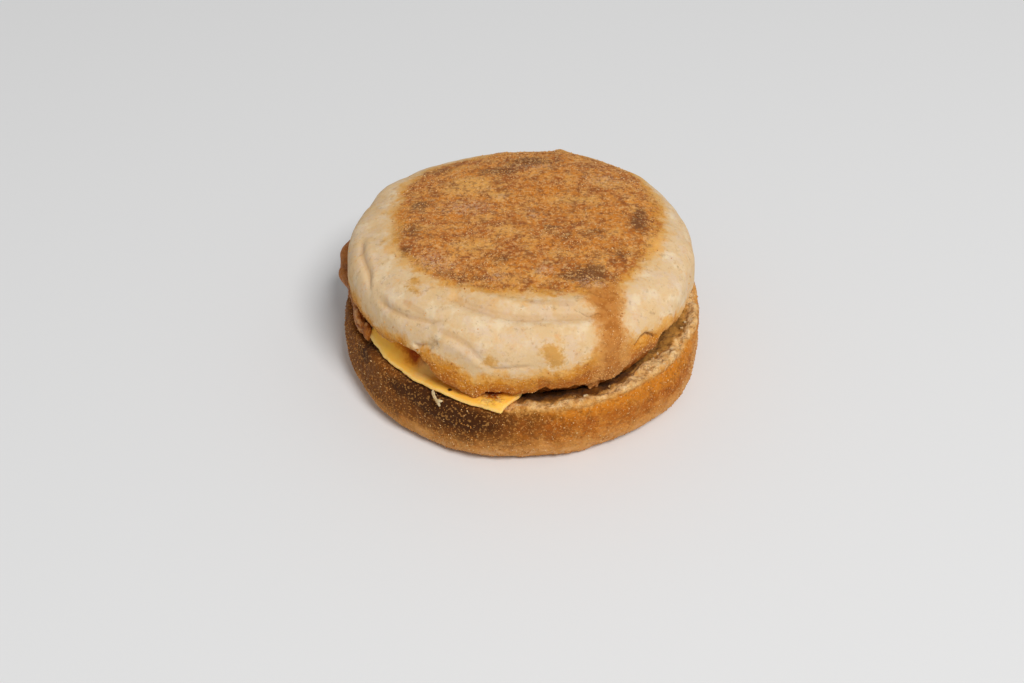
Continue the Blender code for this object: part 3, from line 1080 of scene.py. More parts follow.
@dataclass(frozen=True)
class Scraps:
    """Torn bits of crumb that stand on the bottom half's rim, more of them small than large.

    Their middles stand above the rim's level by a share of their size. Each takes its lumps from a place of
    its own, so far apart from the others' that no two are alike.
    """

    seed: int = 61
    number: int = 16
    azimuths: tuple[float, float] = (-86.0, -14.0)
    radii: tuple[float, float] = (42.6, 44.6)
    level: float = 16.7
    raised: float = 0.25
    sizes: tuple[float, float] = (0.3, 0.8)
    stretch: tuple[float, float] = (0.6, 1.25)
    lumps: Lumps = Lumps(0.8, 0.34, 62)
    apart: float = 7.0
    subdivisions: int = 3

    def build(self) -> None:
        """Make the scraps as one piece."""
        draw = np.random.default_rng(self.seed)
        azimuth = draw.uniform(*self.azimuths, self.number)
        radius = draw.uniform(*self.radii, self.number)
        size = self.sizes[0] + (self.sizes[1] - self.sizes[0]) * draw.random(self.number) ** 2
        middle = polar_points(azimuth, radius, self.level + size * self.raised)
        points, faces = ball(self.subdivisions)
        stretch = draw.uniform(*self.stretch, (self.number, 1, 3))
        places = points[None] + np.arange(self.number)[:, None, None] * self.apart
        swell = 1.0 + self.lumps.at(places)[..., None]
        copies = middle[:, None] + points[None] * swell * stretch * size[:, None, None]
        mesh = copies_mesh("crumb_scraps", copies, faces, draw.random(self.number))
        add_piece(mesh, CRUMB)


@dataclass(frozen=True)
class Morsel:
    """A torn lump of filling that shows in the gap, placed by the azimuth, radius and height of its middle.

    Its sizes are half its extent outwards, sideways and upwards. Large and small lumps tear it by a share
    of its size, and a painted highlight makes it paler where they stand out.
    """

    place: tuple[float, float, float]
    sizes: tuple[float, float, float]
    seed: int
    torn: float = 0.14
    large: float = 0.8
    small: float = 0.35
    # Strength of the painted highlight on the raised lumps.
    paled: float = 2.4
    subdivisions: int = 5

    def build(self, name: str, finish: Finish, slot: str) -> None:
        """Make the morsel's piece.

        Args:
            name: The piece's name.
            finish: Its surface.
            slot: Not used.
        """
        azimuth, radius, height = self.place
        out = polar_points(azimuth, 1.0, 0.0)
        axes = np.stack([out, np.array([-out[1], out[0], 0.0]), np.array([0.0, 0.0, 1.0])])
        points, faces = ball(self.subdivisions)
        lumps = (Lumps(self.large, self.torn, self.seed), Lumps(self.small, self.torn / 2, self.seed + 1))
        swell = 1.0 + lumpy(lumps, points)
        shaped = (points * swell[:, None] * np.array(self.sizes)) @ axes
        fields = {"pale": np.clip(swell - 1.0, 0.0, 1.0) * self.paled}
        mesh = new_mesh(name, shaped + polar_points(azimuth, radius, height), faces.tolist(), fields)
        add_piece(mesh, finish)


@dataclass(frozen=True)
class Shred:
    """A torn shred: a thin strip through a few (azimuth, radius, height) places, narrower at its ends.

    Its width follows a half wave along its length, less a little at both ends. The power makes it fuller.
    """

    places: Places
    width: float
    thickness: float
    sides: int = 10
    steps: int = 26
    ends: float = 0.06
    power: float = 0.5
    lumps: Lumps = Lumps(0.9, 0.12, 71)

    def path(self) -> Array:
        """Run a smooth curve from the first place to the last, pulled towards those between.

        Returns:
            Its points, one for each step.
        """
        points = polar_points(*np.array(self.places).T)[:, None]
        share = np.linspace(0.0, 1.0, self.steps)[:, None]
        while len(points) > 1:
            points = points[:-1] * (1.0 - share) + points[1:] * share
        return points[0]

    def build(self, name: str, finish: Finish, slot: str) -> None:
        """Make the shred's piece.

        Args:
            name: The piece's name.
            finish: Its surface.
            slot: Not used.
        """
        path = self.path()
        run = unit(np.gradient(path, axis=0))
        aside = unit(np.cross(run, path * np.array([1.0, 1.0, 0.0])))
        out = np.cross(aside, run)
        turn = np.radians(np.arange(self.sides) * 360.0 / self.sides)[None, :, None]
        share = np.linspace(self.ends, 1.0 - self.ends, self.steps)
        slim = np.sin(share * math.pi)[:, None, None] ** self.power
        wide = aside[:, None] * np.cos(turn) * self.width / 2
        ring = wide + out[:, None] * np.sin(turn) * self.thickness / 2
        points = path[:, None] + ring * slim
        points = points + self.lumps.at(points)[..., None] * unit(ring)
        grid = np.arange(self.steps * self.sides).reshape(self.steps, self.sides)
        after = np.roll(grid, -1, axis=1)
        faces = listed_faces(grid[:-1], after[:-1], after[1:], grid[1:])
        faces += [tuple(grid[0][::-1].tolist()), tuple(grid[-1].tolist())]
        add_piece(new_mesh(name, points.reshape(-1, 3), faces), finish)


@dataclass
class TopMuffin:
    """Top half: a domed round of bread, lifted at the front, with folds, a torn flap and a ragged edge.

    Heights are above the sandwich's base, before the half is tipped back; those of the band and the tan
    skin are above the lip. The streak's two sides have (distance, azimuth) stations.
    """

    segments: int = 576
    skin_rows: int = 134
    under_rows: int = 17
    floor_rows: int = 26
    dome_samples: int = 220
    wall_samples: int = 70
    lip_samples: int = 14
    girth: Stations = (
        (-180, 46.0), (-140, 45.5), (-100, 45.5), (-60, 45.5), (-20, 45.4), (20, 44.8), (60, 46.0),
        (100, 43.8), (140, 45.8))
    edge_height: Stations = (
        (-180, 22.9), (-167, 23.6), (-158, 25.0), (-151, 24.2), (-146.5, 24.2), (-143, 24.7),
        (-138.5, 25.6), (-131, 26.9), (-127, 28.0), (-123.8, 28.6), (-121.5, 26.0), (-118, 23.3),
        (-114.5, 22.0), (-109.5, 20.9), (-107.3, 20.3), (-105.2, 19.4), (-103.2, 20.7), (-97, 21.0),
        (-90, 20.4), (-82, 21.1), (-72, 20.9), (-65, 20.8), (-60, 20.2), (-57, 20.9), (-53, 22.4),
        (-47.5, 23.3), (-44.5, 23.2), (-41.5, 23.3), (-38.5, 27.6), (-34, 27.7), (-31.5, 26.3),
        (-28.5, 24.4), (-24, 25.0), (-18, 24.7), (-12, 21.9), (0, 19.2), (60, 18.6), (118, 18.9),
        (136, 23.4), (168, 23.4))
    edge_tuck: Stations = (
        (-180, 0.8), (-150, 1.0), (-138, 0.4), (-127, 0.0), (-104, 0.0), (-90, 1.5), (-66, 1.5), (-50, 1.4),
        (-30, 1.1), (-10, 1.1), (20, 1.5), (60, 1.6), (120, 1.6))
    shoulder: Stations = ((-180, 4.0), (-135, 3.5), (-90, 3.1), (-45, 3.4), (0, 4.0), (90, 4.0))
    crown: float = 41.9
    waist: float = 27.0
    tilt: float = 2.0
    pivot: float = 20.0
    lip: float = 1.2
    dish_height: float = 24.9
    dish_radius: float = 38.2
    # Small lumps fray the lower edge all round, and larger ones tear it as strongly as the stations say.
    frayed: Lumps = Lumps(1.5, 0.2, 11)
    torn: Lumps = Lumps(2.8, 1.0, 12)
    torn_edge: Stations = ((-180, 0.15), (-130, 0.2), (-70, 0.2), (-52, 0.3), (-22, 0.3), (0, 0.15))
    folds: tuple[Fold, ...] = (
        Fold(((-121, 35.2), (-108, 37.0), (-92, 38.1), (-76, 38.9), (-62, 41.0)), 1.3, 1.7, 0.9),
        Fold(((-147, 46.2), (-138, 46.1), (-133, 45.8), (-125, 44.6), (-121, 44.0), (-118, 43.1),
              (-113, 40.6)), 0.8, 1.0, 0.4, 8.0),
        Fold(((-176, 42.5), (-169, 42.7), (-163, 43.0), (-157, 43.4), (-153.5, 44.1), (-148, 46.8)),
             0.8, 1.0, 0.25, 6.0),
        Fold(((-120, 46.0), (-116.8, 45.2), (-111.7, 45.6), (-106.7, 47.0), (-102.6, 50.3), (-98.0, 53.0)),
             0.25, 1.3, 0.15, 5.0, -1.8),
        Fold(((-101.0, 52.9), (-96, 52.7), (-91, 51.9), (-86, 51.6)), 0.45, 0.5, 0.1, 3.0),
        Fold(((-137, 42.3), (-129, 42.7), (-121, 42.6)), 0.25, 1.2, 0.2, 5.0),
        Fold(((-92, 33.6), (-80, 34.8), (-66, 37.2)), 0.3, 1.3, 0.2, 6.0))
    cracks: tuple[Crack, ...] = (
        Crack(((-70.5, 37.6), (-67.6, 39.1), (-65.6, 40.4), (-62.5, 40.7)), 0.3, 0.5, 0.08),
        Crack(((-52.0, 52.8), (-49.7, 51.2), (-47.7, 50.8), (-45.2, 52.1), (-43.3, 53.8)), 1.0, 0.6, 0.3),
        Crack(((-124.6, 51.9), (-122.7, 51.2), (-119.7, 50.0), (-117.4, 48.7)), 0.9, 0.6, -0.1))
    # The flap is a tongue of skin that stands proud below its line. Its rise starts a little before the
    # first station and grows over some degrees from each end, and over some millimetres from its line.
    flap: Stations = (
        (-124.6, 52.2), (-122.7, 51.6), (-119.7, 50.3), (-117.0, 47.0), (-114.3, 46.0), (-111.7, 46.4),
        (-109.2, 47.2), (-106.7, 48.2), (-104.6, 49.8), (-102.6, 51.5), (-99.0, 54.0))
    flap_rise: float = 0.45
    flap_lead: float = 0.5
    flap_ends: tuple[float, float] = (1.5, 14.0)
    flap_edge: float = 1.6
    # Lumps of the whole round, of the pale skin, of the browned skin and of the torn crumb under the lip.
    soft: tuple[Lumps, ...] = (Lumps(13.0, 0.32, 1), Lumps(5.5, 0.15, 2))
    dough: tuple[Lumps, ...] = (Lumps(2.6, 0.06, 3), Lumps(1.3, 0.02, 4))
    baked: tuple[Lumps, ...] = (Lumps(2.2, 0.10, 5), Lumps(1.0, 0.06, 6))
    crumb: tuple[Lumps, ...] = (Lumps(3.4, 0.6, 7), Lumps(1.6, 0.3, 8))
    crumb_share: float = 0.8
    # The torn crumb starts so far past the lip. Folds fade towards the lip and all relief towards the axis.
    crumb_start: float = 0.4
    lip_fade: float = 1.5
    axis_fade: float = 1.5
    # The browned fields with the width of the fade at their edge.
    browned: tuple[tuple[str, float], ...] = (("toast", 4.0), ("band", 3.0), ("streak", 2.0))
    toast_edge: Stations = (
        (-179, 32.6), (-160, 33.6), (-148, 33.2), (-123, 32.6), (-109, 31.6), (-91, 30.7), (-74, 32.3),
        (-61, 33.6), (-46, 34.6), (-31, 34.6), (-14, 35.2), (5, 36.6), (22, 38.9), (45, 41.0), (62, 40.5),
        (80, 42.0), (95, 40.0), (110, 37.5), (125, 38.4), (138, 38.1), (150, 36.4), (165, 34.0))
    streak_left: Stations = (
        (34.3, -65.5), (37.2, -65.4), (39.4, -64.6), (41.9, -65.0), (44.2, -66.0), (47.7, -66.0))
    streak_right: Stations = (
        (34.0, -44.0), (38.4, -49.5), (40.4, -52.2), (41.8, -53.2), (44.2, -54.6), (45.8, -55.4),
        (49.2, -54.4))
    streak_top: float = 31.5
    band_height: Stations = (
        (-180, 5.4), (-160, 5.8), (-150, 5.6), (-140, 4.6), (-130, 4.0), (-124.5, 3.2), (-122.6, 4.6),
        (-119.2, 6.8), (-117.2, 7.8), (-112.7, 8.4), (-108.1, 7.6), (-104.6, 6.8), (-100.1, 6.4),
        (-95, 6.6), (-90.5, 7.4), (-81.4, 7.6), (-74.9, 8.8), (-70.4, 10.0), (-65.3, 11.6), (-56.2, 11.0),
        (-49.7, 9.6), (-42.6, 8.6), (-39.0, 6.4), (-34, 5.6), (-30, 4.6), (-15, 4.0), (0, 3.8), (60, 3.8),
        (120, 3.6), (150, 4.0))
    tan_height: Stations = (
        (-180, 9.0), (-160, 9.0), (-145, 6.5), (-130, 2.5), (-118, -3.0), (-30, -3.0), (-5, 3.0), (60, 4.0),
        (140, 6.0))
    # Marks on the crown, as x and y: scorched, bright orange, pale honey and grey with burnt flour.
    char: tuple[Oval, ...] = (
        Oval(-26.8, 7.6, 3.6, 3.2, 0, 0.85), Oval(-28.4, -4.4, 3.0, 3.2, 0, 0.7),
        Oval(-29.3, -13.1, 2.0, 2.4, 0, 0.7), Oval(-6.0, 24.8, 6.0, 2.8, 10, 0.9),
        Oval(2.6, 30.6, 7.0, 2.8, 5, 1.0), Oval(-22.5, 27.1, 5.0, 2.4, 15, 0.6),
        Oval(30.0, -0.8, 2.8, 4.0, 0, 0.95), Oval(31.5, 4.5, 2.0, 2.5, 0, 0.6),
        Oval(25.4, -14.2, 3.6, 2.2, 35, 0.7), Oval(12.6, -24.6, 4.2, 1.8, 0, 0.9),
        Oval(17.4, -22.6, 4.4, 3.4, 10, 1.15), Oval(-11.4, -25.4, 5.6, 1.8, -8, 0.6),
        Oval(7.6, -3.7, 3.0, 1.6, 0, 0.6), Oval(10.6, -7.4, 3.0, 1.8, 0, 0.6),
        Oval(18.4, -5.6, 4.0, 2.0, 0, 0.65), Oval(-5.5, -18.3, 3.4, 1.8, 0, 0.6),
        Oval(-20.0, -22.0, 5.0, 2.2, -35, 0.45), Oval(3.1, 4.4, 2.0, 1.8, 0, 0.5))
    glow: tuple[Oval, ...] = (
        Oval(6.1, 13.4, 8.0, 3.6, 0, 1.0), Oval(21.9, 3.0, 5.6, 3.8, 0, 0.9),
        Oval(31.0, -4.6, 3.4, 4.4, 0, 0.8), Oval(-20.6, 11.4, 5.0, 3.6, 0, 0.8),
        Oval(-31.4, 3.4, 2.4, 5.0, 0, 0.7), Oval(-0.5, -19.9, 6.0, 2.2, 0, 0.6),
        Oval(13.4, -12.3, 7.0, 2.6, 0, 0.6), Oval(4.7, 6.0, 3.0, 2.6, 0, 0.5))
    honey: tuple[Oval, ...] = (
        Oval(-14.4, 17.0, 6.6, 5.2, 10, 1.1), Oval(-5.4, 11.4, 3.0, 2.2, 0, 0.9),
        Oval(14.5, 9.8, 8.0, 2.4, 0, 0.75), Oval(-13.2, -12.0, 5.4, 3.4, 0, 0.8),
        Oval(33.6, -8.6, 2.6, 5.0, 0, 0.9), Oval(-2.0, -4.4, 5.0, 2.2, 0, 0.55),
        Oval(22.0, 19.0, 7.0, 3.4, -20, 0.6))
    ash: tuple[Oval, ...] = (
        Oval(-14.7, 5.6, 6.4, 3.6, 0, 0.85), Oval(-5.6, 11.2, 1.8, 1.4, 0, 0.9),
        Oval(5.6, -22.4, 2.6, 1.8, 0, 1.0), Oval(-22.2, -18.4, 6.6, 4.0, -30, 0.75),
        Oval(17.0, -26.6, 3.2, 1.8, 0, 1.0), Oval(-6.7, -25.0, 3.0, 1.6, 0, 0.7),
        Oval(3.0, 2.2, 2.4, 2.4, 0, 0.5), Oval(21.5, 20.6, 6.0, 3.0, 0, 0.55),
        Oval(4.0, 27.4, 6.0, 1.6, 0, 0.6))
    # Marks on the side, as azimuth and distance: golden crests beside the flap, and a blister at the back.
    gold: tuple[Oval, ...] = (
        Oval(-81.2, 47.2, 2.5, 2.0, 0, 1.15), Oval(-79.6, 50.6, 2.2, 2.4, 0, 1.25),
        Oval(-136.6, 36.6, 1.8, 1.3, 0, 1.1), Oval(-133.6, 38.8, 3.0, 1.2, 0, 0.9),
        Oval(-99.8, 50.6, 2.0, 1.7, 0, 1.15))
    blister: Oval = Oval(75.0, 42.4, 1.6, 1.3, 0, 0.5)
    grains: Semolina = Semolina(51, SEMOLINA)
    # For each browned field: grains in a square millimetre, then the fade's width and start at its edge.
    strewn: tuple[tuple[str, float, float, float], ...] = (
        ("toast", 1.3, 4.0, 0.5), ("band", 1.1, 4.0, 0.3), ("streak", 1.1, 2.0, 0.4))
    # Strays lie all over, and they alone come this near to the torn crumb.
    strays: float = 0.02
    bare_crumb: float = 0.5
    # Grains lie in drifts, like flour shaken over the griddle: more on ash, fewer on bright patches.
    drifts: Lumps = Lumps(6.0, 0.6, 55)
    drift_share: float = 1.2
    drift_range: tuple[float, float] = (0.1, 2.0)
    ash_share: float = 0.5
    bare_share: float = 0.7
    glow_share: float = 0.6

    def outline(self, azimuth: Array) -> Array:
        """Outline from the crown down to the lip, then in under it towards the axis.

        Args:
            azimuth: Degrees, one for each column.

        Returns:
            Radius and height, indexed by point, azimuth and coordinate.
        """
        girth = around(azimuth, self.girth)
        slope = math.sin(math.radians(self.tilt)) * np.sin(np.radians(azimuth))
        rim = polar_points(azimuth, girth, 0.0)
        ragged = self.frayed.at(rim) + self.torn.at(rim) * around(azimuth, self.torn_edge)
        edge = around(azimuth, self.edge_height) + slope * girth + ragged
        tuck = around(azimuth, self.edge_tuck)
        foot = edge + self.lip
        middle = girth - tuck - self.lip
        out, up = superellipse(around(azimuth, self.shoulder), self.dome_samples)
        share = np.linspace(0.0, 1.0, self.wall_samples)[1:, None]
        turn = np.radians(np.linspace(0.0, -90.0, self.lip_samples))[1:, None]
        skin = np.concatenate([
            profile(girth * out, self.waist + (self.crown - self.waist) * up, azimuth),
            profile(girth - tuck * share ** 2, self.waist + (foot - self.waist) * share, azimuth),
            profile(middle + self.lip * np.cos(turn), foot + self.lip * np.sin(turn), azimuth)])
        share = np.linspace(0.0, 1.0, self.under_rows + 1)[1:, None]
        radius = middle + (self.dish_radius - middle) * share
        level = self.dish_height + slope * radius
        under = profile(radius, edge + (level - edge) * ease(share), azimuth)
        radius = self.dish_radius * np.linspace(1.0, 0.0, self.floor_rows + 2)[1:-1, None]
        inner = profile(radius, self.dish_height + slope * radius, azimuth)
        return np.concatenate([resampled(skin, self.skin_rows), under, inner])

    def tipped(self, points: Array) -> Array:
        """Tip points back about the X direction, so that the front stands higher.

        Args:
            points: Places in millimetres.

        Returns:
            The same points after it.
        """
        turn = math.radians(self.tilt)
        rise = points[..., 2] - self.pivot
        moved = points.copy()
        moved[..., 1] = points[..., 1] * math.cos(turn) + rise * math.sin(turn)
        moved[..., 2] = self.pivot - points[..., 1] * math.sin(turn) + rise * math.cos(turn)
        return moved

    def fields(self, spot: Survey) -> dict[str, Array]:
        """Numbers for the finish: millimetres inside the browned zones, and strengths of marks.

        Args:
            spot: The points before the relief.

        Returns:
            Each field by its name in the finish.
        """
        azimuth, distance = spot.azimuth, spot.distance
        past_lip = distance - distance[self.skin_rows - 1]
        left = np.interp(distance, *zip(*self.streak_left))
        right = np.interp(distance, *zip(*self.streak_right))
        beside = np.radians(np.minimum(azimuth - left, right - azimuth)) * spot.radius
        fields = {
            "streak": np.minimum(beside, distance - self.streak_top),
            "crease": np.max([fold.crease(azimuth, distance) for fold in self.folds], axis=0),
            "crack": np.max([crack.inside(azimuth, distance) for crack in self.cracks], axis=0),
            "gold": spot.marked(self.gold, distance),
        }
        marks = {"char": self.char, "glow": self.glow, "honey": self.honey, "ash": self.ash}
        for key, ovals in marks.items():
            fields[key] = sum(mark.on_face(spot.points) for mark in ovals)
        skin = np.arange(len(distance))[:, None] < self.skin_rows
        fields = {key: np.where(skin, values, OUTSIDE) for key, values in fields.items()}
        fields.update({
            "toast": around(azimuth, self.toast_edge) - distance,
            "band": around(azimuth, self.band_height) + past_lip,
            "tan": around(azimuth, self.tan_height) + past_lip,
            "crumb": past_lip - self.crumb_start,
        })
        return fields

    def relief(self, spot: Survey, fields: dict[str, Array]) -> Array:
        """Offset of the skin along its normals, in millimetres.

        Args:
            spot: The points before the relief.
            fields: The finish's fields.

        Returns:
            One offset for each point.
        """
        azimuth, distance, points = spot.azimuth, spot.distance, spot.points
        skin = np.clip((distance[self.skin_rows - 1] - distance) / self.lip_fade, 0.0, 1.0)
        folds = sum(line.relief(azimuth, distance) for line in self.folds + self.cracks)
        ends = ease((azimuth - self.flap[0][0] + self.flap_lead) / self.flap_ends[0])
        ends = ends * ease((self.flap[-1][0] - azimuth) / self.flap_ends[1])
        below = distance - np.interp(azimuth, *zip(*self.flap))
        flap = self.flap_rise * ends * ease(below / self.flap_edge)
        blister = self.blister.on_side(azimuth, distance, spot.radius)
        browned = np.maximum.reduce([inside(fields[key], soft) for key, soft in self.browned])
        surface = folds * skin + flap + blister + lumpy(self.soft, points) + lumpy(self.dough, points)
        surface = surface + lumpy(self.baked, points) * browned
        under = ease(fields["crumb"])
        offset = surface * (1.0 - under) + lumpy(self.crumb, points) * under * self.crumb_share
        return offset * ease(spot.radius / self.axis_fade)

    def density(self, points: Array, fields: dict[str, Array]) -> Array:
        """Grains of semolina in each square millimetre: many on the browned skin, few on the pale side.

        Args:
            points: Places on the skin.
            fields: The finish's fields there.

        Returns:
            One density for each point.
        """
        bare = np.clip(fields["honey"] + self.glow_share * fields["glow"], 0.0, 1.0)
        drift = 1.0 + self.drift_share * self.drifts.at(points)
        drift = np.clip(drift + self.ash_share * fields["ash"] - self.bare_share * bare, *self.drift_range)
        browned = [number * inside(fields[key], *fade) for key, number, *fade in self.strewn]
        most = np.maximum.reduce(browned)
        return most * drift * (fields["crumb"] < -self.bare_crumb) + self.strays

    def build(self) -> None:
        """Make the top half's piece and the semolina on it."""
        azimuth = azimuths(self.segments)
        spot = Survey.of(azimuth, self.outline(azimuth))
        fields = self.fields(spot)
        moved = self.tipped(spot.moved(self.relief(spot, fields)))
        skin = Skin(moved[1:], {key: values[1:] for key, values in fields.items()})
        add_piece(skin.mesh("top_crust"), TOP_CRUST, "top_muffin")
        self.grains.strew("top_semolina", skin, self.density(skin.points, skin.fields), "top_crust")


@dataclass
class BottomMuffin:
    """Bottom half: a low round of bread with a griddled base, brown sides and a torn, pale rim.

    Its height stations are above the base.
    """

    segments: int = 576
    centre_rows: int = 12
    face_rows: int = 30
    side_rows: int = 62
    samples: int = 60
    wall_samples: int = 40
    rim_samples: int = 12
    girth: Stations = (
        (-180, 47.7), (-150, 47.8), (-122, 47.6), (-105, 48.6), (-75, 47.7), (-38, 48.9), (-26, 48.7),
        (-14, 47.4), (60, 47.7), (120, 47.8))
    base_radius: float = 42.0
    foot_power: float = 2.4
    belly: float = 8.5
    rim_height: float = 17.0
    rim_tuck: Stations = (
        (-180, 0.9), (-150, 1.5), (-122, 1.1), (-105, 2.0), (-75, 1.6), (-38, 2.4), (-26, 2.0), (-14, 0.4),
        (40, 0.1), (80, 1.1))
    rim_round: float = 0.9
    lip_inner: float = 42.6
    dish_height: float = 15.0
    dish_radius: float = 37.5
    dimple: float = 0.2
    dimple_waves: tuple[int, int] = (7, 4)
    dimple_start: float = 40.0
    # The torn crumb runs from the crust's edge, so far inside the rim, in to a radius. It stands up as a
    # ridge at the front right.
    crust_reach: Stations = (
        (-180, 2.4), (-160, 3.0), (-105, 3.0), (-93, 0.2), (-80, -0.7), (-15, -0.7), (5, 0.0), (60, 0.6),
        (140, 1.2))
    crumb_inner: Stations = (
        (-180, 43.0), (-100, 43.4), (-77.5, 43.9), (-63.7, 44.3), (-55, 43.4), (-43, 41.7), (-36.7, 43.0),
        (-27.5, 44.0), (-15, 44.5), (10, 43.6), (90, 43.2))
    ridge: Stations = (
        (-180, 0.0), (-100, 0.0), (-84, 0.25), (-60, 0.5), (-42, 0.8), (-25, 0.5), (0, 0.3), (60, 0.2))
    # The dark seam's two edges, whose upper one reaches the rim under the cheese as partly painted shadow,
    # the darker left side with its partly painted shade, the pale foot and where the cut face lies open.
    dark_top: Stations = (
        (-180, 18.0), (-160, 18.0), (-140, 18.0), (-120, 18.0), (-105, 18.0), (-97, 17.0), (-90, 15.5),
        (-84, 14.8), (-75, 13.8), (-65, 13.5), (-55, 13.0), (-45, 12.8), (-30, 12.5), (-15, 13.0),
        (60, 13.0), (140, 15.0))
    dark_foot: Stations = (
        (-180, 9.0), (-160, 7.0), (-140, 7.0), (-120, 7.5), (-105, 8.0), (-97, 9.0), (-90, 9.5),
        (-84, 10.0), (-75, 10.5), (-65, 10.3), (-55, 9.8), (-45, 9.0), (-30, 7.5), (-15, 7.0), (60, 7.0),
        (140, 7.0))
    left_reach: Stations = (
        (-180, 4.0), (-165, 6.0), (-110, 6.0), (-85, 0.0), (-60, -6.0), (20, -6.0), (90, 0.0), (140, 2.0))
    foot_height: Stations = (
        (-180, 5.0), (-150, 4.6), (-120, 5.6), (-90, 6.4), (-60, 6.0), (-42, 6.6), (-30, 8.4), (-17, 13.5),
        (5, 14.0), (30, 7.0), (120, 5.0))
    face_opens: Stations = ((-180, -4), (-62, -4), (-46, -1), (-36, 3), (20, 4), (60, -2), (90, -4))
    # Marks on the side, as azimuth and height: burnt ones, which just under the cheese's overhang are
    # partly painted shadow, and red brown ones.
    scorch: tuple[Oval, ...] = (
        Oval(-152.0, 15.6, 3.6, 3.0, 0, 0.95), Oval(-134.0, 14.6, 4.0, 2.0, 0, 0.7),
        Oval(-124.0, 15.4, 6.0, 3.0, -12, 1.1), Oval(-115.0, 14.4, 6.5, 3.6, -12, 1.25),
        Oval(-105.0, 13.4, 5.0, 3.0, -8, 1.05), Oval(-96.5, 13.8, 2.6, 2.4, 0, 0.5),
        Oval(70.0, 12.0, 8.0, 1.6, 0, 0.7), Oval(115.0, 11.0, 6.0, 2.0, 0, 0.8),
        Oval(160.0, 13.0, 7.0, 1.8, 0, 0.8))
    flame: tuple[Oval, ...] = (
        Oval(-86.5, 12.2, 2.0, 3.0, 0, 0.6), Oval(-79.0, 11.0, 1.8, 3.4, 0, 0.7),
        Oval(-70.0, 12.0, 2.2, 3.0, 0, 0.8), Oval(-58.0, 11.2, 6.0, 2.2, -4, 1.0),
        Oval(-49.5, 10.6, 5.0, 2.2, -4, 1.0), Oval(-42.0, 11.4, 5.0, 2.6, -8, 1.2),
        Oval(-31.0, 11.6, 4.0, 2.2, -8, 1.0), Oval(-19.5, 12.4, 2.0, 2.4, 0, 0.8),
        Oval(20.0, 11.0, 7.0, 1.8, 0, 0.8))
    # Distances past the rim start so far down its round edge. The side's colours reach in to the next one,
    # and the golden border laps so far over the dark seam.
    rim_lead: float = 0.3
    side_start: float = -6.0
    gold_lap: float = 0.5
    # Lumps of the whole round, of the browned skin, of the rim's ridge and of the torn crumb.
    soft: tuple[Lumps, ...] = (Lumps(11.0, 0.3, 21), Lumps(4.0, 0.16, 22))
    baked: tuple[Lumps, ...] = (Lumps(1.9, 0.09, 23), Lumps(0.95, 0.06, 24))
    clods: Lumps = Lumps(4.2, 0.6, 27)
    torn: tuple[Lumps, ...] = (Lumps(2.3, 0.36, 25), Lumps(1.2, 0.13, 26))
    torn_sunk: float = 0.05
    crumb_soft: float = 1.6
    cut_soft: float = 1.5
    # The cut face is rough from the first radius on and fully so this much further out.
    cut_start: float = 30.0
    cut_grows: float = 4.0
    # Relief fades out on the base: below the first height over the second, and inside its radius and a lap
    # over the last width.
    base_top: float = 0.6
    base_soft: float = 0.5
    base_lap: float = 1.0
    base_edge: float = 2.0
    grains: Semolina = Semolina(52, BROWNED_SEMOLINA)
    # Grains in a square millimetre, above this height. They thin out softly before the crumb and cut face.
    strewn: float = 1.2
    strewn_from: float = 0.8
    bare_soft: float = 1.0
    drifts: Lumps = Lumps(5.0, 0.6, 28)
    drift_share: float = 1.2
    drift_range: tuple[float, float] = (0.2, 2.0)
    # Most grains are left off the burnt marks and the painted shadow under the cheese.
    burnt_share: float = 0.8
    burnt_reach: float = 1.4

    @property
    def rim_row(self) -> int:
        """Row of the points where the cut face meets the rim's round edge."""
        return self.centre_rows + self.face_rows

    def face_height(self, radius: Array) -> Array:
        """Height of the cut face: a rim that slopes down into a shallow dish."""
        share = (radius - self.dish_radius) / (self.lip_inner - self.dish_radius)
        return self.dish_height + (self.rim_height - self.dish_height) * ease(share)

    def outline(self, azimuth: Array) -> Array:
        """Outline from the cut face's middle over the rim and down to the base's middle.

        Args:
            azimuth: Degrees, one for each column.

        Returns:
            Radius and height, indexed by point, azimuth and coordinate.
        """
        dimples = self.dimple * waves(azimuth, self.dimple_waves, self.dimple_start)
        belly = around(azimuth, self.girth) + dimples
        tuck = around(azimuth, self.rim_tuck)
        rim = belly - tuck
        share = np.linspace(0.0, 1.0, self.centre_rows + 2)[1:-1, None]
        centre = profile(self.dish_radius * share, self.dish_height, azimuth)
        share = np.linspace(0.0, 1.0, self.samples)[:, None]
        radius = self.dish_radius + (rim - self.rim_round - self.dish_radius) * share
        face = profile(radius, self.face_height(radius), azimuth)
        turn = np.radians(np.linspace(90.0, 0.0, self.rim_samples))[1:, None]
        height = self.rim_height - self.rim_round * (1 - np.sin(turn))
        arc = profile(rim - self.rim_round * (1 - np.cos(turn)), height, azimuth)
        share = np.linspace(1.0, 0.0, self.wall_samples)[1:, None]
        height = self.belly + (self.rim_height - self.rim_round - self.belly) * share
        side = profile(belly - tuck * share ** 2, height, azimuth)
        out, up = (curve[-2::-1] for curve in superellipse(self.foot_power, self.samples))
        radius = self.base_radius + (belly - self.base_radius) * out
        foot = profile(radius, self.belly * (1.0 - up), azimuth)
        share = np.linspace(1.0, 0.0, self.samples)[1:-1, None]
        base = profile(self.base_radius * share, 0.0, azimuth)
        outside = resampled(np.concatenate([arc, side, foot]), self.side_rows)
        return np.concatenate([centre, resampled(face, self.face_rows), outside, base])

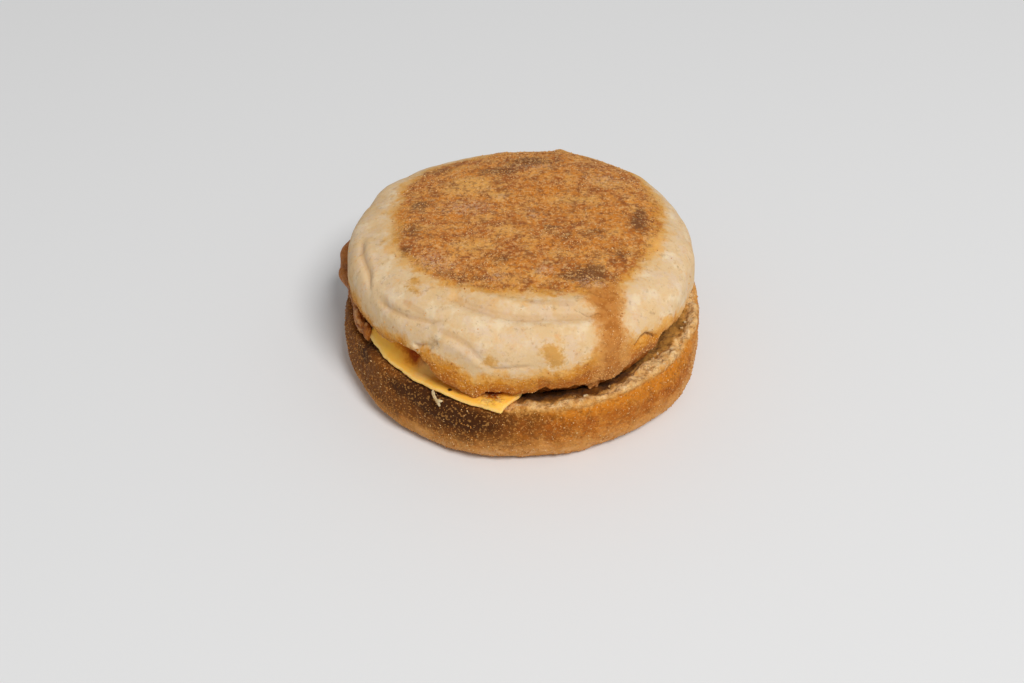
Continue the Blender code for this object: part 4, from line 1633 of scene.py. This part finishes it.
    def fields(self, spot: Survey) -> dict[str, Array]:
        """Numbers for the finish: millimetres inside its zones, and strengths of marks.

        Args:
            spot: The points before the relief.

        Returns:
            Each field by its name in the finish.
        """
        azimuth, radius, height = spot.azimuth, spot.radius, spot.height
        past_rim = spot.distance - spot.distance[self.rim_row] - self.rim_lead
        inner = around(azimuth, self.crumb_inner)
        top = around(azimuth, self.dark_top)
        foot = around(azimuth, self.foot_height) - height
        face = np.where(past_rim < 0.0, inner - radius, OUTSIDE)
        fields = {
            "dark": np.minimum(top - height, height - around(azimuth, self.dark_foot)),
            "left": np.minimum(around(azimuth, self.left_reach), -foot),
            "gold": height - top + self.gold_lap,
            "foot": foot,
        }
        side = past_rim > self.side_start
        fields = {key: np.where(side, values, OUTSIDE) for key, values in fields.items()}
        fields.update({
            "crumb": np.minimum(-past_rim - around(azimuth, self.crust_reach), radius - inner),
            "face": face,
            "open": np.minimum(face, around(azimuth, self.face_opens)),
            "scorch": spot.marked(self.scorch, height),
            "flame": spot.marked(self.flame, height),
        })
        return fields

    def relief(self, spot: Survey, fields: dict[str, Array]) -> Array:
        """Offset of the skin along its normals, in millimetres.

        Args:
            spot: The points before the relief.
            fields: The finish's fields.

        Returns:
            One offset for each point.
        """
        crumb = inside(fields["crumb"], self.crumb_soft)
        cut = inside(fields["face"], self.cut_soft) * ease((spot.radius - self.cut_start) / self.cut_grows)
        base = ease((self.base_top - spot.height) / self.base_soft)
        base = base * ease((self.base_radius + self.base_lap - spot.radius) / self.base_edge)
        skin = lumpy(self.soft, spot.points) + lumpy(self.baked, spot.points)
        clods = self.clods.at(spot.points) + around(spot.azimuth, self.ridge)
        torn = lumpy(self.torn, spot.points) - self.torn_sunk
        return skin * (1.0 - crumb) * (1.0 - base) + (torn + clods) * crumb + torn * cut

    def density(self, spot: Survey, fields: dict[str, Array]) -> Array:
        """Grains of semolina in each square millimetre: on the skin alone, above the base.

        Args:
            spot: The points before the relief.
            fields: The finish's fields.

        Returns:
            One density for each point.
        """
        bare = np.maximum(*(inside(fields[key], self.bare_soft) for key in ("crumb", "face")))
        drift = np.clip(1.0 + self.drift_share * self.drifts.at(spot.points), *self.drift_range)
        drift = drift * (1.0 - self.burnt_share * np.clip(fields["scorch"] * self.burnt_reach, 0.0, 1.0))
        return self.strewn * (1.0 - bare) * (spot.height > self.strewn_from) * drift

    def build(self) -> None:
        """Make the bottom half's piece and the semolina on it."""
        azimuth = azimuths(self.segments)
        spot = Survey.of(azimuth, self.outline(azimuth))
        fields = self.fields(spot)
        skin = Skin(spot.moved(self.relief(spot, fields)), fields)
        skin.points[..., 2] = np.maximum(skin.points[..., 2], 0.0)
        add_piece(skin.mesh("bottom_crust"), BOTTOM_CRUST, "bottom_muffin")
        self.grains.strew("bottom_semolina", skin, self.density(spot, fields), "bottom_crust")


@dataclass
class SausagePatty:
    """Patty: a browned disc of ground meat of uneven outline, over the bread's rim at the back left."""

    bread: BottomMuffin
    segments: int = 384
    top_rows: int = 50
    edge_rows: int = 24
    under_rows: int = 24
    face_samples: int = 50
    edge_samples: int = 30
    outline: Stations = (
        (-180, 46.4), (-172, 45.6), (-162, 45.6), (-156, 42.4), (-150, 41.6), (-132, 38.5), (-90, 38.4),
        (-74, 40.8), (-58, 41.0), (-42, 41.2), (-24, 39.4), (20, 37.6), (90, 38.0), (126, 40.5),
        (151, 52.4), (160, 53.0), (171, 50.4))
    thickness: float = 6.0
    edge_thickness: float = 4.3
    edge_power: float = 2.3
    # Shares of its radius: how much the rounded edge takes up, and where the disc starts to thin.
    edge_band: float = 0.06
    thinning: float = 0.7
    ripple: float = 0.45
    ripple_waves: tuple[int, int] = (11, 5)
    ripple_start: float = 30.0
    seat_lead: float = 1.2
    gap: float = 0.35
    # The lobe that shows at the back left is pressed smooth; the rest is coarse mince.
    lobe: Oval = Oval(166.0, 50.0, 19.0, 6.0, 0, 1.4)
    lobe_smooth: float = 0.85
    # Pale places on the torn chunk's edge: partly fat, partly painted highlight where the edge faces the
    # light.
    pale: tuple[Oval, ...] = (Oval(-160.0, 45.5, 3.0, 1.4, 0, 0.9), Oval(-170.0, 46.4, 4.0, 1.2, 0, 0.8))
    mince: tuple[Lumps, ...] = (Lumps(4.2, 0.3, 31), Lumps(2.2, 0.26, 32), Lumps(1.1, 0.14, 33))
    morsels: tuple[Morsel, ...] = (
        Morsel((-159.5, 44.8, 21.6), (1.5, 3.0, 3.4), 81),
        Morsel((-154.0, 44.4, 20.6), (1.3, 2.0, 2.6), 83),
        Morsel((-65.0, 41.0, 19.4), (1.3, 2.4, 2.2), 85, 0.18),
        Morsel((-57.0, 40.8, 19.6), (1.0, 1.8, 1.9), 87, 0.18))

    def seat(self, radius: Array) -> Array:
        """Height of the underside, which starts to rise just inside the bread's own slope."""
        return self.bread.face_height(radius + self.seat_lead) + self.gap

    def top(self, share: Array, radius: Array) -> Array:
        """Height of the upper face at a share of its own radius and at a distance from the axis."""
        edge = ease((share - self.thinning) / (1.0 - self.thinning))
        return self.seat(radius) + self.thickness + (self.edge_thickness - self.thickness) * edge

    def section(self, azimuth: Array) -> Array:
        """Outline from near the upper face's middle round the edge to near the lower face's.

        Args:
            azimuth: Degrees, one for each column.

        Returns:
            Radius and height, indexed by point, azimuth and coordinate.
        """
        ripples = self.ripple * waves(azimuth, self.ripple_waves, self.ripple_start)
        reach = around(azimuth, self.outline) + ripples
        share = np.linspace(0.0, 1.0, self.face_samples)[1:-1, None] * (1.0 - self.edge_band)
        upper = profile(reach * share, self.top(share, reach * share), azimuth)
        lower = profile(reach * share, self.seat(reach * share), azimuth)[::-1]
        out, up = superellipse(self.edge_power, self.edge_samples)
        half = self.edge_thickness / 2
        radius = reach - reach * self.edge_band * (1.0 - out)
        over = profile(radius, self.seat(radius) + half * (1.0 + up), azimuth)
        under = profile(radius, self.seat(radius) + half * (1.0 - up), azimuth)[-2::-1]
        edge = resampled(np.concatenate([over, under]), self.edge_rows)
        return np.concatenate([resampled(upper, self.top_rows), edge, resampled(lower, self.under_rows)])

    def build(self) -> None:
        """Make the patty's piece and the torn morsels beside it."""
        azimuth = azimuths(self.segments)
        spot = Survey.of(azimuth, self.section(azimuth))
        fields = {"lobe": self.lobe.on_side(spot.azimuth, spot.radius, spot.radius),
                  "pale": spot.marked(self.pale, spot.radius)}
        smooth = self.lobe_smooth * np.clip(fields["lobe"], 0.0, 1.0)
        skin = Skin(spot.moved(lumpy(self.mince, spot.points) * (1.0 - smooth)), fields)
        add_piece(skin.mesh("sausage_meat"), PATTY_MEAT, "sausage_patty")
        for number, morsel in enumerate(self.morsels, 1):
            morsel.build(f"meat_morsel_{number}", PATTY_MEAT, "browned_meat")


@dataclass
class CheeseStrip:
    """Cheese: a strip of a slice over the patty, draped over the bread's rim at the front left.

    Left and front are the x and y of its outer edge's two corners.
    """

    patty: SausagePatty
    left: tuple[float, float] = (-39.3, -20.8)
    front: tuple[float, float] = (-5.1, -47.9)
    length: float = 68.0
    thickness: float = 2.0
    # The outer edge bows out in its middle, and this share of the length bows with it.
    bow: float = 4.2
    bow_reach: float = 0.3
    # It drapes down over so much past the patty's edge, and what hangs out further than the rim sags.
    drape_width: float = 4.2
    overhang_start: float = 46.0
    overhang_width: float = 2.5
    edge_sag: float = 0.9
    gap: float = 0.55
    edge_round: float = 2.2
    rows: int = 150
    columns: int = 110
    # Points crowd towards the outer edge, by a power, and towards both sides, by a share of the spacing.
    row_crowding: float = 1.7
    column_crowding: float = 0.35
    waves: tuple[Lumps, ...] = (Lumps(7.0, 0.18, 41), Lumps(2.5, 0.05, 42))
    nibbled: tuple[Lumps, ...] = (Lumps(2.2, 0.16, 43), Lumps(1.0, 0.08, 44))
    nibble_reach: float = 0.8
    # The painted highlight along the cheese's thin edge reaches so far in.
    edge_highlight_width: float = 0.35
    pale_patch: Oval = Oval(-24.0, -34.5, 4.5, 3.0)
    crumbly: Oval = Oval(-7.5, -44.5, 3.0, 2.2)
    speck: Oval = Oval(-17.9, -40.9, 0.7, 0.6)
    tags: tuple[Shred, ...] = (
        Shred(((-118.4, 46.4, 19.2), (-117.4, 48.0, 18.6), (-116.2, 47.6, 17.4), (-115.4, 47.6, 15.8)),
              1.1, 0.6),
        Shred(((-116.9, 47.4, 17.6), (-116.0, 47.7, 17.2), (-115.2, 47.7, 17.6), (-114.4, 47.7, 17.9)),
              0.8, 0.5))

    def plan(self, along: Array, across: Array) -> Array:
        """Plan position on the strip, whose outer edge bows out as a parabola.

        Args:
            along: Share of the length, 0 at the outer edge.
            across: Share of the width, 0 at the left corner.

        Returns:
            x and y on the last axis.
        """
        start = np.array(self.left)
        side = np.array(self.front) - start
        inward = np.array([-side[1], side[0]]) / np.linalg.norm(side)
        bow = self.bow * 4.0 * across * (1.0 - across) * (1.0 - ease(along / self.bow_reach))
        return start + side * across[..., None] + inward * (self.length * along - bow)[..., None]

    def seat(self, plan: Array) -> Array:
        """Height of the underside: on the patty inside, draped down to the bread's rim outside.

        Args:
            plan: x and y on the last axis.

        Returns:
            Millimetres above the sandwich's base.
        """
        radius = np.linalg.norm(plan, axis=-1)
        edge = around(np.degrees(np.arctan2(plan[..., 1], plan[..., 0])), self.patty.outline)
        on_patty = self.patty.top(np.minimum(radius / edge, 1.0), np.minimum(radius, edge)) + self.gap
        on_rim = self.patty.bread.rim_height + self.patty.gap
        overhang = self.edge_sag * ease((radius - self.overhang_start) / self.overhang_width)
        return on_patty + (on_rim - on_patty) * ease((radius - edge) / self.drape_width) - overhang

    def build(self) -> None:
        """Make the cheese's piece and the torn tags that hang from its edge."""
        width = math.dist(self.left, self.front)
        even = np.linspace(0.0, 1.0, self.columns + 1)
        crowded = (1.0 - np.cos(even * math.pi)) / 2.0
        sideways = crowded * self.column_crowding + even * (1.0 - self.column_crowding)
        inwards = np.linspace(0.0, 1.0, self.rows + 1) ** self.row_crowding
        along, across = np.meshgrid(inwards, sideways, indexing="ij")
        plan = self.plan(along, across)
        flat = np.concatenate([plan, np.zeros(plan.shape[:2] + (1,))], axis=-1)
        inset = np.minimum.reduce([
            along * self.length, (1.0 - along) * self.length, across * width, (1.0 - across) * width])
        nibble = np.exp(-inset / self.nibble_reach) * lumpy(self.nibbled, flat)
        plan = plan + nibble[..., None] * unit(plan)
        share = np.clip(inset / self.edge_round, 0.0, 1.0)
        half = self.thickness / 2 * np.sqrt(1.0 - (1.0 - share) ** 2)
        middle = self.seat(plan) + self.thickness / 2 + lumpy(self.waves, flat)
        over = np.concatenate([plan, (middle + half)[..., None]], axis=-1)
        under = np.concatenate([plan, (middle - half)[..., None]], axis=-1)
        fields = {"rim": self.edge_highlight_width - inset, "inner": inset, "pale_patch": self.pale_patch.on_face(plan),
                  "crumbly": self.crumbly.on_face(plan), "speck": self.speck.on_face(plan)}
        add_piece(self.closed("cheese", over, under, fields), CHEESE, "cheese_slice")
        for number, tag in enumerate(self.tags, 1):
            tag.build(f"cheese_tag_{number}", CRUMB, "cheese")

    @staticmethod
    def closed(name: str, over: Array, under: Array, fields: dict[str, Array]) -> bpy.types.Mesh:
        """Join two sheets that share their outline into one closed mesh.

        Args:
            name: The mesh's name.
            over: Points of the upper sheet by row and column.
            under: Points of the lower sheet, whose outline isn't used.
            fields: A number for each row and column, the same on both sheets, by the field's name.

        Returns:
            The mesh, in metres.
        """
        rows, columns = over.shape[:2]
        upper = np.arange(rows * columns).reshape(rows, columns)
        lower = upper.copy()
        inner = np.arange((rows - 2) * (columns - 2)).reshape(rows - 2, columns - 2)
        lower[1:-1, 1:-1] = rows * columns + inner
        faces = listed_faces(upper[:-1, :-1], upper[:-1, 1:], upper[1:, 1:], upper[1:, :-1])
        faces += listed_faces(lower[1:, :-1], lower[1:, 1:], lower[:-1, 1:], lower[:-1, :-1])
        points = np.concatenate([over.reshape(-1, 3), under[1:-1, 1:-1].reshape(-1, 3)])
        joined = {key: np.append(values, values[1:-1, 1:-1]) for key, values in fields.items()}
        return new_mesh(name, points, faces, joined)


@dataclass
class Studio:
    """A plain pale floor, a large soft light high at the right and a camera at the photograph's angle."""

    picture: tuple[int, int] = (1024, 683)
    focal_pixels: float = 1518.0
    sensor: float = 36.0
    distance: float = 420.0
    elevation: float = 39.5
    origin_pixel: tuple[float, float] = (522.0, 345.0)
    clip: tuple[float, float] = (10.0, 10000.0)
    floor_side: float = 4000.0
    floor_drop: float = 0.02
    floor_colour: str = "#E6E6E6"
    floor_roughness: float = 0.6
    sky_strength: float = 0.36
    key_direction: tuple[float, float, float] = (0.29, -0.52, 0.8)
    key_distance: float = 2000.0
    key_side: float = 720.0
    key_power: float = 29.0

    def build(self) -> None:
        """Set the floor, the lights and the camera up."""
        self.add_floor()
        self.add_lights()
        self.add_camera()
        bpy.context.scene.view_settings.view_transform = "Standard"

    def add_floor(self) -> None:
        """Lay a plain matt floor, just below the sandwich's base so that the two faces don't coincide."""
        half = self.floor_side / 2
        corners = np.array([(-half, -half, 0.0), (half, -half, 0.0), (half, half, 0.0), (-half, half, 0.0)])
        mesh = new_mesh("floor", corners, [(0, 1, 2, 3)])
        material = bpy.data.materials.new("matt_floor")
        material.use_nodes = True
        shader = material.node_tree.nodes["Principled BSDF"]
        shader.inputs["Base Color"].default_value = linear(self.floor_colour)
        shader.inputs["Roughness"].default_value = self.floor_roughness
        mesh.materials.append(material)
        floor = bpy.data.objects.new("floor", mesh)
        floor.location.z = -self.floor_drop * MM
        bpy.context.scene.collection.objects.link(floor)

    def add_lights(self) -> None:
        """Light the sky evenly and hang one large soft light high at the right, a little in front."""
        world = bpy.data.worlds.new("studio")
        bpy.context.scene.world = world
        world.use_nodes = True
        sky = world.node_tree.nodes["Background"]
        sky.inputs["Color"].default_value = (1.0, 1.0, 1.0, 1.0)
        sky.inputs["Strength"].default_value = self.sky_strength
        lamp = bpy.data.lights.new("key", "AREA")
        lamp.shape = "DISK"
        lamp.size = self.key_side * MM
        lamp.energy = self.key_power
        key = bpy.data.objects.new("key", lamp)
        towards = Vector(self.key_direction).normalized()
        key.location = towards * self.key_distance * MM
        key.rotation_mode = "QUATERNION"
        key.rotation_quaternion = towards.to_track_quat("Z", "Y")
        bpy.context.scene.collection.objects.link(key)

    def add_camera(self) -> None:
        """Aim the camera so that the sandwich's origin falls on its pixel in the photograph."""
        rise = math.radians(self.elevation)
        back = Vector((0.0, -math.cos(rise), math.sin(rise)))
        right = Vector((1.0, 0.0, 0.0))
        up = back.cross(right)
        place = back * self.distance * MM
        aside = self.origin_pixel[0] - self.picture[0] / 2
        below = self.origin_pixel[1] - self.picture[1] / 2
        pitch = Matrix.Rotation(math.atan2(below, math.hypot(self.focal_pixels, aside)), 3, right)
        back, up = pitch @ back, pitch @ up
        yaw = Matrix.Rotation(math.atan2(aside, self.focal_pixels), 3, up)
        back, right = yaw @ back, yaw @ right
        lens = bpy.data.cameras.new("camera")
        lens.sensor_width = self.sensor
        lens.lens = self.focal_pixels * self.sensor / self.picture[0]
        lens.clip_start, lens.clip_end = (length * MM for length in self.clip)
        camera = bpy.data.objects.new("camera", lens)
        turned = Matrix((right, up, back)).transposed().to_4x4()
        camera.matrix_world = Matrix.Translation(place) @ turned
        bpy.context.scene.collection.objects.link(camera)
        bpy.context.scene.camera = camera


def main() -> None:
    """Build the sandwich from the bottom up, then the studio round it."""
    logging.basicConfig(level=logging.INFO, format="%(name)s: %(message)s")
    bottom = BottomMuffin()
    bottom.build()
    Scraps().build()
    patty = SausagePatty(bottom)
    patty.build()
    CheeseStrip(patty).build()
    TopMuffin().build()
    Studio().build()


if __name__ == "__main__":
    main()
